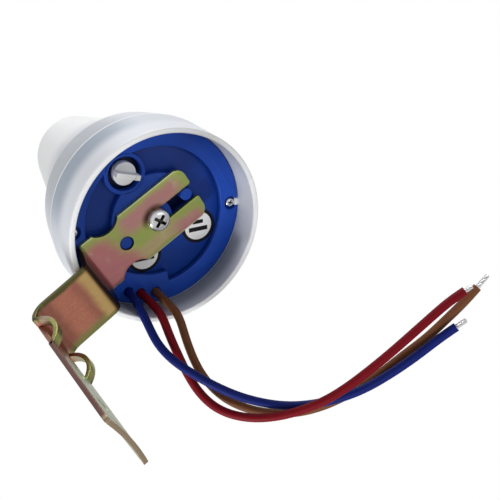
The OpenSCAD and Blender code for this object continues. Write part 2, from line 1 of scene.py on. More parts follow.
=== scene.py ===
"""Looks of a photocell switch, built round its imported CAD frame.

Sizes are millimetres in the cap's own frame unless a name says otherwise: z counts up from the middle of
the rim, and the bracket reaches out along +y. Place.point turns them into metres in the part's frame.
"""

import logging
import math
from dataclasses import dataclass, field
from enum import Enum
from typing import Dict, Iterable, List, Optional, Sequence, Tuple, Union

import bmesh
import bpy
from mathutils import Matrix, Vector


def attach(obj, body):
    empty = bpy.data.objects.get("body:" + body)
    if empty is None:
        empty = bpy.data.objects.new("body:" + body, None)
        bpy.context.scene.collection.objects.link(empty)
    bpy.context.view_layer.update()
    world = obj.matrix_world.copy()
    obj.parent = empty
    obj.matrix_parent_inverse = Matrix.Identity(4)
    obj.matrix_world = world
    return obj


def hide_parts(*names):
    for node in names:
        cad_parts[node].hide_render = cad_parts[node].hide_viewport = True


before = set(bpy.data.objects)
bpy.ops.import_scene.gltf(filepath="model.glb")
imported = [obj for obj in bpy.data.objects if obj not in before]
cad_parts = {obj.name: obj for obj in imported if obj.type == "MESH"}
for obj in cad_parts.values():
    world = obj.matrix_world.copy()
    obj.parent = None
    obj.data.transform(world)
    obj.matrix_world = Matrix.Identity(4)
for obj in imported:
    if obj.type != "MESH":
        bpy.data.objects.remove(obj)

LOG = logging.getLogger("photocell")
Point2 = Tuple[float, float]
Outline = List[Point2]
Colour = Tuple[float, float, float]


class Body(Enum):
    """The CAD bodies that a piece can ride on."""

    UNIT = "unit"
    ADJUSTER = "adjuster"


class Place:
    """Where the cap's frame stands in the part's frame."""

    MM = 0.001
    LEG_STAND = 44.45
    RIM_RISE = 34.0

    @classmethod
    def point(cls, x: float, y: float, z: float) -> Vector:
        """Turns millimetres x, y and z of the cap's frame into metres in the part's frame."""
        return Vector((x, y - cls.LEG_STAND, z + cls.RIM_RISE)) * cls.MM

    @classmethod
    def matrix(cls) -> Matrix:
        """Gives the same step as a matrix, from the cap's frame to the part's."""
        return Matrix.Translation(cls.point(0, 0, 0)) @ Matrix.Scale(cls.MM, 4)


class Wire:
    """An output socket of a shader graph that takes part in Python sums."""

    def __init__(self, graph: "Graph", socket: bpy.types.NodeSocket) -> None:
        """Keeps the graph that new nodes go into, and the output socket."""
        self.graph = graph
        self.socket = socket

    def maths(self, operation: str, *values: "Value") -> "Wire":
        """Makes one maths node, by Blender's name of the operation and its inputs in order."""
        return self.graph.node("ShaderNodeMath", {"operation": operation}, dict(enumerate(values)))

    def __add__(self, other: "Value") -> "Wire":
        """Gives the sum."""
        return self.maths("ADD", self, other)

    def __sub__(self, other: "Value") -> "Wire":
        """Gives the difference."""
        return self.maths("SUBTRACT", self, other)

    def __mul__(self, other: "Value") -> "Wire":
        """Gives the product."""
        return self.maths("MULTIPLY", self, other)

    def __truediv__(self, other: "Value") -> "Wire":
        """Gives the quotient."""
        return self.maths("DIVIDE", self, other)

    def __pow__(self, other: "Value") -> "Wire":
        """Gives the power."""
        return self.maths("POWER", self, other)

    def __rsub__(self, other: "Value") -> "Wire":
        """Gives the difference from a number on the left."""
        return self.maths("SUBTRACT", other, self)

    def __abs__(self) -> "Wire":
        """Gives the value without its sign."""
        return self.maths("ABSOLUTE", self)

    __radd__ = __add__
    __rmul__ = __mul__

    def step(self, low: float, high: float) -> "Wire":
        """Rises smoothly from 0 at low to 1 at high, or falls where high is the smaller.

        Args:
            low: The value where the step begins.
            high: The value where it ends.

        Returns:
            A factor from 0 to 1.
        """
        if high < low:
            return 1.0 - self.step(high, low)
        inputs = {"Value": self, "From Min": low, "From Max": high}
        return self.graph.node("ShaderNodeMapRange", {"interpolation_type": "SMOOTHSTEP"}, inputs)


Value = Union[Wire, float, int, Sequence[float]]


class Graph:
    """The node tree of one material, or of the world, written as Python expressions."""

    def __init__(self, name: str, world: bool = False) -> None:
        """Makes a material with one Principled shader, or a world with one background.

        Args:
            name: The material's or the world's name.
            world: Whether it is a world.
        """
        self.owner = bpy.data.worlds.new(name) if world else bpy.data.materials.new(f"look_{name}")
        self.owner.use_nodes = True
        self.tree = self.owner.node_tree
        self.shader = self.tree.nodes["Background" if world else "Principled BSDF"]

    def feed(self, socket: bpy.types.NodeSocket, value: "Value") -> None:
        """Sets a socket, or links a wire to it.

        Args:
            socket: The input socket.
            value: A wire, a number or a colour.
        """
        if isinstance(value, Wire):
            self.tree.links.new(value.socket, socket)
        elif isinstance(value, (int, float)):
            socket.default_value = value
        else:
            values = list(value)
            socket.default_value = values + [1.0] * (len(socket.default_value) - len(values))

    def node(
        self,
        kind: str,
        settings: Optional[Dict[str, object]] = None,
        inputs: Optional[Dict[Union[str, int], "Value"]] = None,
        output: Union[str, int] = 0,
    ) -> Wire:
        """Makes any node: its settings first, then its sockets.

        Args:
            kind: Blender's type name of the node.
            settings: The node's own settings.
            inputs: What goes into its sockets, by name or number.
            output: The socket to give back.

        Returns:
            The chosen output.
        """
        made = self.tree.nodes.new(kind)
        for key, value in (settings or {}).items():
            setattr(made, key, value)
        for key, value in (inputs or {}).items():
            self.feed(made.inputs[key], value)
        return Wire(self, made.outputs[output])

    def place(self) -> Tuple[Wire, Wire, Wire]:
        """Gives the point being shaded, in the cap's frame.

        Returns:
            Its x, y and z in millimetres.
        """
        where = self.node("ShaderNodeTexCoord", output="Object")
        parts = [self.node("ShaderNodeSeparateXYZ", inputs={0: where}, output=k) * 1000.0 for k in range(3)]
        return parts[0], parts[1] + Place.LEG_STAND, parts[2] - Place.RIM_RISE

    def noise(
        self, size_mm: float, detail: float = 2.0, stretch: Sequence[float] = (1.0, 1.0, 1.0)
    ) -> Wire:
        """Makes a soft noise about 0.

        Args:
            size_mm: The size of its grains, in millimetres.
            detail: How many finer layers it has.
            stretch: How much longer the grains are along each axis.

        Returns:
            A value from about -0.5 to 0.5.
        """
        where = self.node("ShaderNodeTexCoord", output="Object")
        scale = [1000.0 / (size_mm * s) for s in stretch]
        drawn = self.node("ShaderNodeVectorMath", {"operation": "MULTIPLY"}, {0: where, 1: scale})
        inputs = {"Vector": drawn, "Scale": 1.0, "Detail": detail}
        return self.node("ShaderNodeTexNoise", inputs=inputs) - 0.5

    def mix(self, share: "Value", first: "Value", second: "Value") -> Wire:
        """Mixes two colours, with share as how much of the second there is, from 0 to 1."""
        return self.node("ShaderNodeMix", {"data_type": "RGBA"}, {0: share, 6: first, 7: second}, 2)

    def tone(self, colour: "Value", factor: "Value") -> Wire:
        """Makes a colour lighter or darker by a factor."""
        settings = {"operation": "SCALE"}
        return self.node("ShaderNodeVectorMath", settings, {0: colour, "Scale": factor})

    def bump(self, height: "Value", distance_mm: float) -> Wire:
        """Turns a height from about 0 to 1 into a normal, where 1 stands for distance_mm."""
        inputs = {"Strength": 1.0, "Distance": distance_mm * Place.MM, "Height": height}
        return self.node("ShaderNodeBump", inputs=inputs)

    def done(self, **sockets: "Value") -> bpy.types.ID:
        """Feeds the graph's own shader.

        Args:
            sockets: What goes into each socket, with _ for each space in its name.

        Returns:
            The finished material or world.
        """
        for key, value in sockets.items():
            self.feed(self.shader.inputs[key.replace("_", " ")], value)
        return self.owner

    def shown(self, other: Wire, seen: float, mirrored: float) -> None:
        """Keeps the graph's own shader for rays that light, and shows another one to rays that look.

        Args:
            other: The shader for rays that look.
            seen: Its share for rays from the camera.
            mirrored: Its share for rays off gloss or through glass.
        """
        shares = {"Is Camera Ray": seen, "Is Glossy Ray": mirrored, "Is Transmission Ray": mirrored}
        share = sum(self.node("ShaderNodeLightPath", output=way) * part for way, part in shares.items())
        own = Wire(self, self.shader.outputs[0])
        both = self.node("ShaderNodeMixShader", inputs={0: share, 1: own, 2: other})
        ends = [node for node in self.tree.nodes if node.bl_idname.startswith("ShaderNodeOutput")]
        self.feed(ends[0].inputs["Surface"], both)


@dataclass(frozen=True)
class Moulding:
    """Moulded plastic with faint clouding, a fine skin and slightly uneven gloss, and painted shade on its
    deepest faces if given.
    """

    name: str
    colour: Colour
    roughness: float = 0.35
    cloud: float = 0.06
    skin: float = 0.02
    depth: float = 0.0
    gloss: float = 0.4
    # Painted shade on deep faces: the height where it starts, where it is full, and how much darker.
    hollow: Optional[Tuple[float, float, float]] = None

    def material(self) -> bpy.types.Material:
        """Builds the material. Returns: The material."""
        g = Graph(self.name)
        shade = g.noise(6.0, 3.0) * self.cloud + g.noise(0.9) * (self.cloud * 0.5) + 1.0
        # Painted shade, darker the deeper a face lies.
        if self.hollow:
            start, end, share = self.hollow
            shade = shade * (1.0 - g.place()[2].step(start, end) * share)
        return g.done(
            Base_Color=g.tone(self.colour, shade),
            Roughness=g.noise(2.5, 3.0) * 0.15 + self.roughness,
            Normal=g.bump(g.noise(0.5, 3.0), self.skin),
            Subsurface_Weight=self.depth,
            Subsurface_Radius=(1.0, 1.0, 1.0),
            Subsurface_Scale=0.003,
            Specular_IOR_Level=self.gloss,
        )


@dataclass(frozen=True)
class MilkyPlastic:
    """The cap's milky moulding, white at the rim, with blue-grey painted shade where the base stands behind
    the wall, grey painted shade on the cone's shaded side, painted shade inside the skirt, and a painted
    highlight line at the skirt's edge.
    """

    name: str = "milky_plastic"
    rim: Colour = (0.96, 0.97, 0.98)
    skirt: Colour = (0.82, 0.85, 0.9)
    # Blue-grey of the painted shade where the base stands behind the wall.
    band: Colour = (0.38, 0.44, 0.53)
    # Grey of the painted shade on the cone's shaded side and at the base of the nose.
    taper: Colour = (0.47, 0.5, 0.55)
    nose: Colour = (0.96, 0.965, 0.97)
    # Direction, in degrees, of the side where the outer painted shade is strongest.
    band_faces: float = 163.0
    # Direction, in degrees, of the side where the painted shade inside the skirt is strongest.
    dim_faces: float = 20.0
    edge_z: float = 16.0
    shoulder_z: float = 29.5
    roughness: float = 0.32

    @staticmethod
    def towards(x: Wire, y: Wire, r: Wire, degrees: float) -> Wire:
        """Gives 1 where a point at x and y, r from the axis, lies on that side, and -1 on the far one."""
        a = math.radians(degrees)
        return (x * math.cos(a) + y * math.sin(a)) / r

    def material(self) -> bpy.types.Material:
        """Builds the material. Returns: The material."""
        g = Graph(self.name)
        x, y, z = g.place()
        r = (x * x + y * y) ** 0.5 + 0.1
        # How far each point lies toward the side of strongest outer painted shade.
        facing = self.towards(x, y, r, self.band_faces)
        # Painted shade inside the skirt: up to 0.6 darker deep on one side, 0.26 darker elsewhere.
        dim = self.towards(x, y, r, self.dim_faces).step(0.46, 0.58)
        dim = dim * (z.step(0.6, 6.5) * 0.55 + 0.05) + (1.0 - dim) * 0.26
        inside = r.step(28.0, 27.6) * z.step(9.6, 9.2)
        # Share of the outer painted shade: full on that side, a quarter elsewhere.
        near = facing.step(0.72, 0.95) * 0.75 + 0.25
        cloud = g.noise(16.0) * 0.3
        # Painted shade: blue-grey on the upper skirt, where the base stands behind the wall.
        tint = g.mix((z + cloud * 4.0).step(5.0, 11.5) * near, self.skirt, self.band)
        # Painted highlight: rim white from the skirt's top edge, covered again 0.8 above it, which leaves a
        # thin bright line.
        tint = g.mix(z.step(self.edge_z - 0.5, self.edge_z), tint, self.rim)
        # Painted shade: the cone above the skirt turns grey on the shaded side.
        over = g.mix(near, self.skirt, self.taper)
        tint = g.mix(z.step(self.edge_z + 0.15, self.edge_z + 0.8), tint, over)
        # Painted shade at the base of the nose on the shaded side, fading upward.
        low = (z - cloud * 20.0).step(56.0, 34.0)
        foot = g.mix(low * facing.step(-0.2, 0.8) * 0.9, self.nose, self.taper)
        tint = g.mix(z.step(self.shoulder_z - 0.6, self.shoulder_z), tint, foot)
        return g.done(
            # The inside of the skirt takes that painted shade.
            Base_Color=g.tone(g.mix(z.step(0.9, 0.3), tint, self.rim), 1.0 - inside * dim),
            Roughness=g.noise(3.0, 3.0) * 0.12 + self.roughness,
            Normal=g.bump(g.noise(0.7, 2.0), 0.012),
            Subsurface_Weight=0.3,
            Subsurface_Radius=(1.0, 1.0, 1.0),
            Subsurface_Scale=0.0012,
        )


@dataclass(frozen=True)
class PassivatedZinc:
    """Zinc plate with a yellow passivation, green-gold at the edges and pink between them, plus painted
    highlights on its edges and bend and painted shade and reflection on the riser, round the screw and on
    the leg.
    """

    name: str = "passivated_zinc"
    green: Colour = (0.49, 0.58, 0.16)
    # Light passivation patches, and the colour of the painted highlight on the edges.
    pale: Colour = (0.85, 0.88, 0.48)
    tan: Colour = (0.68, 0.5, 0.29)
    pink: Colour = (0.74, 0.33, 0.34)
    blush: Colour = (0.7, 0.27, 0.27)
    rose: Colour = (0.74, 0.27, 0.19)
    # Brown of the arm's darker ends, and of the painted shade and reflection on the leg's top.
    umber: Colour = (0.4, 0.15, 0.11)
    olive: Colour = (0.36, 0.36, 0.12)
    shade: Colour = (0.15, 0.14, 0.05)
    # Gold of the arm's specks, and of the painted highlight on the bend.
    gold: Colour = (0.85, 0.56, 0.22)
    # Dark of the painted shade on the riser and of the painted reflection round the screw.
    dark: Colour = (0.045, 0.014, 0.006)
    leaf: Colour = (0.43, 0.5, 0.28)
    mauve: Colour = (0.2, 0.1, 0.085)
    brown: Colour = (0.5, 0.38, 0.25)

    def fork(self, g: Graph, x: Wire, y: Wire, drift: Wire) -> Wire:
        """Lays out the tints of the fork and the waist, with a painted reflection round the screw and
        painted highlights along the edges.

        Args:
            g: The graph it goes into.
            x: Distance across the strap.
            y: Distance along the strap.
            drift: A noise that makes the tints run unevenly.

        Returns:
            The tint.
        """
        u, v = x + drift * 2.5, y + drift * 3.5
        waist = u.step(2.6, 5.2) * u.step(8.8, 7.0) * v.step(-7.0, -2.5)
        left = u.step(-8.6, -6.2) * u.step(0.2, -4.0) * v.step(-13.0, -7.5) * v.step(13.0, 7.5)
        right = u.step(3.6, 6.4) * v.step(-14.0, -10.5) * v.step(-0.5, -5.5)
        root = (v + u * 0.45).step(10.0, 16.5) * u.step(-8.4, -4.0)
        tint = g.mix(waist * 0.8, self.green, self.tan)
        tint = g.mix((left + right) * 0.9, tint, self.pink)
        tint = g.mix(root, tint, self.blush)
        r = (x * x + y * y) ** 0.5
        # Painted reflection: a dark ring round the screw's head, mostly on its -x side.
        tint = g.mix(r.step(5.4, 3.6) * x.step(1.5, -2.5) * 0.85, tint, self.dark)
        tint = g.mix((g.noise(5.0, 2.0) + drift * 0.3).step(0.08, 0.35) * 0.3, tint, self.pale)
        # Painted highlight along the strap's long edges.
        return g.mix(abs(x).step(8.35, 8.8) * 0.8, tint, self.pale)

    def tint(self, g: Graph, drift: Wire) -> Wire:
        """Lays out the tints of the whole strap, with painted shade on the riser and the leg's top and a
        painted highlight on the bend.

        Args:
            g: The graph it goes into.
            drift: A noise that makes the tints run unevenly.

        Returns:
            The tint.
        """
        x, y, z = g.place()
        speck = g.noise(0.6, 2.0).step(-0.1, 0.25)
        arm = g.mix(speck * 0.25, self.rose, self.gold)
        # Darker brown toward the bend and toward the leg.
        arm = g.mix((y + drift * 2.0).step(33.0, 30.0) * 0.5, arm, self.umber)
        arm = g.mix((y + drift * 3.0).step(36.5, 39.5) * 0.7, arm, self.umber)
        arm = g.mix((x + drift * 3.0).step(5.2, 8.2), arm, self.olive)
        arm = g.mix((x + drift * 1.5).step(-7.3, -8.3), arm, self.shade)
        # Painted highlight along the bend between the riser and the arm.
        arm = g.mix((y + drift * 2.0).step(30.0, 27.4) * abs(x).step(8.4, 7.0), arm, self.gold)
        tint = g.mix(z.step(1.0, -1.0), self.fork(g, x, y, drift), arm)
        # Painted shade on the riser.
        tint = g.mix(y.step(22.2, 23.0) * y.step(26.0, 24.9), tint, self.dark)
        guide = g.mix((z + drift * 6.0).step(-12.0, -9.0), self.olive, self.brown)
        # Painted shadow and reflection on the leg's upper part, slanting across it.
        leg = g.mix((z - x * 0.9 + drift * 4.0).step(-26.0, -16.0) * 0.85, self.leaf, self.umber)
        leg = g.mix(abs(x).step(8.0, 8.5), leg, self.shade)
        leg = g.mix(abs(x).step(8.7, 8.84), leg, self.mauve)
        leg = g.mix(y.step(43.0, 42.8), leg, guide)
        leg = g.mix(z.step(-55.5, -57.2), leg, self.brown)
        return g.mix(z.step(-6.5, -9.5), tint, leg)

    def material(self) -> bpy.types.Material:
        """Builds the material. Returns: The material."""
        g = Graph(self.name)
        drift = g.noise(7.0, 3.0) + g.noise(2.2, 2.0) * 0.4
        streak = g.noise(1.2, 3.0, (0.25, 4.0, 4.0))
        return g.done(
            Base_Color=g.tone(self.tint(g, drift), streak * 0.22 + 0.81),
            Metallic=0.9,
            Roughness=g.noise(3.0, 3.0) * 0.2 + streak * 0.1 + 0.33,
            Normal=g.bump(g.noise(1.6, 3.0) + streak * 0.3, 0.012),
        )


@dataclass(frozen=True)
class BrightMetal:
    """Plated or tinned metal with fine uneven gloss."""

    name: str
    colour: Colour = (0.8, 0.81, 0.82)
    roughness: float = 0.25
    grain: float = 0.4

    def material(self) -> bpy.types.Material:
        """Builds the material. Returns: The material."""
        g = Graph(self.name)
        grain = g.noise(self.grain, 3.0)
        return g.done(
            Base_Color=g.tone(self.colour, grain * 0.3 + 1.0),
            Metallic=1.0,
            Roughness=grain * 0.25 + self.roughness,
            Normal=g.bump(grain, 0.004),
        )


@dataclass(frozen=True)
class Insulation:
    """Flexible wire insulation with rubbed streaks along its length."""

    name: str
    colour: Colour
    roughness: float = 0.55

    def material(self) -> bpy.types.Material:
        """Builds the material. Returns: The material."""
        g = Graph(self.name)
        rub = g.noise(1.5, 3.0)
        return g.done(
            Base_Color=g.tone(self.colour, rub * 0.25 + g.noise(9.0) * 0.2 + 1.0),
            Roughness=rub * 0.2 + self.roughness,
            Normal=g.bump(g.noise(0.6, 2.0), 0.015),
            Specular_IOR_Level=0.15,
        )


@dataclass(frozen=True)
class StickerPaper:
    """White paper discs with a dark border and short printed bars."""

    name: str = "sticker_paper"
    centres: Tuple[Point2, ...] = ((12.8, -9.435), (8.81, 8.87))
    radius: float = 5.4
    border: Point2 = (4.4, 5.7)
    bars: Tuple[Tuple[Point2, Point2], ...] = (((0.0, 1.3), (3.4, 1.2)), ((0.0, -1.0), (6.2, 1.4)))
    ink: Colour = (0.006, 0.006, 0.008)
    paper: Colour = (0.9, 0.9, 0.88)

    @staticmethod
    def within(value: Wire, low: float, high: float, blur: float = 0.06) -> Wire:
        """Gives 1 where a value lies between low and high and 0 outside, with both ends blurred."""
        return value.step(low - blur, low + blur) * value.step(high + blur, high - blur)

    def mark(self, u: Wire, v: Wire, at: Point2, size: Point2) -> Wire:
        """Draws one bar.

        Args:
            u: Distance along the print.
            v: Distance across the print.
            at: The bar's middle.
            size: The bar's length and height.

        Returns:
            How much ink there is, from 0 to 1.
        """
        soft = 0.08
        ends = [(abs(w - middle), long / 2) for w, middle, long in zip((u, v), at, size)]
        along, across = (w.step(half + soft, half - soft) for w, half in ends)
        return along * across

    def material(self) -> bpy.types.Material:
        """Builds the material. Returns: The material."""
        g = Graph(self.name)
        x, y, _ = g.place()
        ink: Optional[Wire] = None
        for cx, cy in self.centres:
            dx, dy = x - cx, y - cy
            r = (dx * dx + dy * dy) ** 0.5
            u, v = dx * 0.503 - dy * 0.864, dx * -0.864 - dy * 0.503
            shade = self.within(r, *self.border)
            for at, size in self.bars:
                shade = shade.maths("MAXIMUM", shade, self.mark(u, v, at, size))
            ink = shade if ink is None else ink.maths("MAXIMUM", ink, shade)
        fibre = g.noise(0.5, 3.0)
        return g.done(
            Base_Color=g.mix(ink, g.tone(self.paper, fibre * 0.1 + 1.0), self.ink),
            Roughness=fibre * 0.1 + 0.6,
            Normal=g.bump(fibre, 0.01),
            Specular_IOR_Level=0.2,
        )


@dataclass(frozen=True)
class FloorPaint:
    """Pale floor that looks brighter than the light that falls on it."""

    name: str = "floor_paint"
    colour: Colour = (0.85, 0.85, 0.85)
    seen: float = 0.75
    mirrored: float = 0.3

    def material(self) -> bpy.types.Material:
        """Builds the material. Returns: The material."""
        g = Graph(self.name)
        made = g.done(Base_Color=g.tone(self.colour, g.noise(60.0) * 0.04 + 1.0), Roughness=0.7)
        g.shown(g.node("ShaderNodeEmission", inputs={"Color": self.colour}), self.seen, self.mirrored)
        return made


Finish = Union[Moulding, MilkyPlastic, PassivatedZinc, BrightMetal, Insulation, StickerPaper]


class Shape:
    """Meshes made from outlines, profiles and lines, all in the cap's frame."""

    @staticmethod
    def polar(r: float, degrees: float) -> Point2:
        """Places a point round the axis. Args: r: Its distance. degrees: Its angle. Returns: The point."""
        a = math.radians(degrees)
        return r * math.cos(a), r * math.sin(a)

    @staticmethod
    def box(x: float, y: float, x_end: float, y_end: float) -> Outline:
        """Draws a rectangle from its lower left corner to its upper right one."""
        return [(x, y), (x_end, y), (x_end, y_end), (x, y_end)]

    @staticmethod
    def baked(made: bpy.types.Object) -> bpy.types.Mesh:
        """Works out what an object comes to. Args: made: The object. Returns: A new mesh."""
        return bpy.data.meshes.new_from_object(made.evaluated_get(bpy.context.evaluated_depsgraph_get()))

    @staticmethod
    def arc(cx: float, cy: float, r: float, start: float, end: float, steps: int = 24) -> Outline:
        """Draws an arc round a centre from one angle to another, in degrees, both ends among its points."""
        angles = [math.radians(start + (end - start) * k / steps) for k in range(steps + 1)]
        return [(cx + r * math.cos(a), cy + r * math.sin(a)) for a in angles]

    @staticmethod
    def circle(cx: float, cy: float, r: float, steps: int = 96) -> Outline:
        """Draws a circle round a centre, without the first point again at the end."""
        return Shape.arc(cx, cy, r, 0.0, 360.0, steps)[:-1]

    @staticmethod
    def area(outline: Outline) -> float:
        """Measures an outline. Args: outline: Its points. Returns: Its area, positive if it turns left."""
        pairs = zip(outline, outline[1:] + outline[:1])
        return sum(a[0] * b[1] - b[0] * a[1] for a, b in pairs) / 2

    @staticmethod
    def plate(
        outer: Outline, holes: Sequence[Outline], low: float, high: float, edge: float
    ) -> bmesh.types.BMesh:
        """Makes a flat piece with rounded edges.

        Args:
            outer: Its outline.
            holes: The outlines of its holes.
            low: The lower face's height.
            high: The upper face's height.
            edge: The radius of its edges.

        Returns:
            The piece as a new mesh.
        """
        data = bpy.data.curves.new("plate", "CURVE")
        data.dimensions, data.fill_mode = "2D", "BOTH"
        data.extrude, data.offset = (high - low) / 2 - edge, -edge
        data.bevel_depth, data.bevel_resolution = edge, 2
        for outline, turns_left in [(outer, True), *((h, False) for h in holes)]:
            points = outline if (Shape.area(outline) > 0) == turns_left else outline[::-1]
            spline = data.splines.new("POLY")
            spline.points.add(len(points) - 1)
            spline.use_cyclic_u = True
            for knot, (x, y) in zip(spline.points, points):
                knot.co = (x, y, 0.0, 1.0)
        holder = bpy.data.objects.new("plate", data)
        bpy.context.collection.objects.link(holder)
        mesh = Shape.baked(holder)
        made = bmesh.new()
        made.from_mesh(mesh)
        bmesh.ops.translate(made, verts=made.verts, vec=(0.0, 0.0, (low + high) / 2))
        bmesh.ops.remove_doubles(made, verts=made.verts, dist=1e-4)
        bpy.data.objects.remove(holder)
        bpy.data.curves.remove(data)
        bpy.data.meshes.remove(mesh)
        return made

    @staticmethod
    def disc(
        centre: Point2, r: float, low: float, high: float, edge: float, steps: int
    ) -> bmesh.types.BMesh:
        """Makes a round plate between two heights, with rounded edges."""
        return Shape.plate(Shape.circle(*centre, r, steps), [], low, high, edge)

    @staticmethod
    def lathe(profile: Sequence[Point2], steps: int = 128) -> bmesh.types.BMesh:
        """Turns a profile round the axis.

        Args:
            profile: Its points as radius and height, from one end to the other.
            steps: How many pieces the turn has.

        Returns:
            The turned piece as a new mesh.
        """
        made = bmesh.new()
        rings: List[List[bmesh.types.BMVert]] = []
        for r, z in profile:
            if r < 1e-6:
                rings.append([made.verts.new((0.0, 0.0, z))])
                continue
            turns = [2 * math.pi * k / steps for k in range(steps)]
            rings.append([made.verts.new((r * math.cos(a), r * math.sin(a), z)) for a in turns])
        for lower, upper in zip(rings, rings[1:]):
            for k in range(steps):
                n = (k + 1) % steps
                corners = [(lower, k), (lower, n), (upper, n), (upper, k)]
                unique = list(dict.fromkeys(ring[i % len(ring)] for ring, i in corners))
                if len(unique) > 2:
                    made.faces.new(unique)
        bmesh.ops.recalc_face_normals(made, faces=made.faces)
        return made

    @staticmethod
    def rounded(profile: Sequence[Tuple[float, float, float]], steps: int = 6) -> List[Point2]:
        """Rounds the corners of a profile.

        Args:
            profile: Its corners, each with the radius that rounds it.
            steps: How many pieces each round has.

        Returns:
            The rounded profile's points.
        """
        out: List[Point2] = []
        for k, (x, y, r) in enumerate(profile):
            here = Vector((x, y))
            if r <= 0 or k in (0, len(profile) - 1):
                out.append((x, y))
                continue
            back = (Vector(profile[k - 1][:2]) - here).normalized()
            on = (Vector(profile[k + 1][:2]) - here).normalized()
            half = back.angle(on) / 2
            reach = r / math.tan(half)
            middle = here + (back + on).normalized() * (r / math.sin(half))
            first, last = here + back * reach - middle, here + on * reach - middle
            for s in range(steps + 1):
                spoke = first.lerp(last, s / steps).normalized() * r
                out.append((middle.x + spoke.x, middle.y + spoke.y))
        return out

    @staticmethod
    def tube(line: Sequence[Vector], r: float, sides: int = 10) -> bmesh.types.BMesh:
        """Sweeps a round section along a line.

        Args:
            line: The line's points.
            r: The section's radius.
            sides: How many sides the section has.

        Returns:
            The tube as a new mesh, closed at both ends.
        """
        made = bmesh.new()
        rings = []
        normal = (line[1] - line[0]).orthogonal().normalized()
        for k, p in enumerate(line):
            way = (line[min(k + 1, len(line) - 1)] - line[max(k - 1, 0)]).normalized()
            normal = (normal - way * normal.dot(way)).normalized()
            side = way.cross(normal)
            turns = [2 * math.pi * i / sides for i in range(sides)]
            spokes = [normal * math.cos(a) + side * math.sin(a) for a in turns]
            rings.append([made.verts.new(p + spoke * r) for spoke in spokes])
        for a, b in zip(rings, rings[1:]):
            for i in range(sides):
                j = (i + 1) % sides
                made.faces.new((a[i], a[j], b[j], b[i]))
        made.faces.new(rings[0][::-1])
        made.faces.new(rings[-1])
        return made

    @staticmethod
    def moved(piece: bmesh.types.BMesh, matrix: Matrix) -> bmesh.types.BMesh:
        """Moves a mesh. Args: piece: The mesh. matrix: The move. Returns: The same mesh."""
        bmesh.ops.transform(piece, matrix=matrix, verts=piece.verts)
        return piece

    @staticmethod
    def cut(target: bpy.types.Object, tool: bpy.types.Object) -> None:
        """Cuts one object out of another and removes the tool.

        Args:
            target: What is cut.
            tool: What cuts it.
        """
        step = target.modifiers.new("cut", "BOOLEAN")
        step.object, step.operation, step.solver = tool, "DIFFERENCE", "EXACT"
        old = target.data
        target.data = Shape.baked(target)
        target.modifiers.clear()
        bpy.data.objects.remove(tool)
        bpy.data.meshes.remove(old)


@dataclass
class SubAssembly:
    """Pieces that belong together."""

    body: Body = Body.UNIT

    def piece(self, name: str, parts: Iterable[bmesh.types.BMesh], angle: float = 35.0) -> bpy.types.Object:
        """Joins meshes of the cap's frame into one object of the part's frame.

        Args:
            name: The object's name.
            parts: The meshes.
            angle: Edges sharper than this stay sharp, in degrees.

        Returns:
            The object.
        """
        data = bpy.data.meshes.new(name)
        whole = bmesh.new()
        for part in parts:
            part.to_mesh(data)
            part.free()
            whole.from_mesh(data)
        bmesh.ops.transform(whole, matrix=Place.matrix(), verts=whole.verts)
        whole.to_mesh(data)
        whole.free()
        data.polygons.foreach_set("use_smooth", [True] * len(data.polygons))
        data.set_sharp_from_angle(angle=math.radians(angle))
        made = bpy.data.objects.new(name, data)
        bpy.context.collection.objects.link(made)
        return made

    @staticmethod
    def finished(finish: Finish) -> bpy.types.Material:
        """Finds or builds the material of a finish. Args: finish: The finish. Returns: Its material."""
        return bpy.data.materials.get(f"look_{finish.name}") or finish.material()

    def dress(self, made: bpy.types.Object, finish: Finish, slot: str, *nodes: str) -> bpy.types.Object:
        """Gives a piece its finish and its place in the frame.

        Args:
            made: The piece.
            finish: Its finish.
            slot: The record's material slot, not used.
            nodes: The CAD nodes it stands for.

        Returns:
            The same piece.
        """
        made.data.materials.append(self.finished(finish))
        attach(made, self.body.value)
        if nodes:
            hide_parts(*nodes)
        LOG.info("%s stands for %s", made.name, ", ".join(nodes) or "nothing")
        return made

    def paint(self, node: str, finish: Finish) -> None:
        """Gives a CAD node its finish and shows it as it is.

        Args:
            node: The node's name.
            finish: Its finish.
        """
        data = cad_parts[node].data
        data.materials.clear()
        data.materials.append(self.finished(finish))
        LOG.info("%s keeps its CAD shape", node)


class Zinc(Enum):
    """Metal finishes that several pieces share."""

    SCREW = BrightMetal("bright_zinc")
    # Painted shade: a dark copy of the screw's zinc for the inside of the cross recesses.
    RECESS = BrightMetal("recess_zinc", (0.1, 0.1, 0.09), 0.5)
    TINNED = BrightMetal("tinned_copper", (0.82, 0.82, 0.83), 0.3, 0.25)


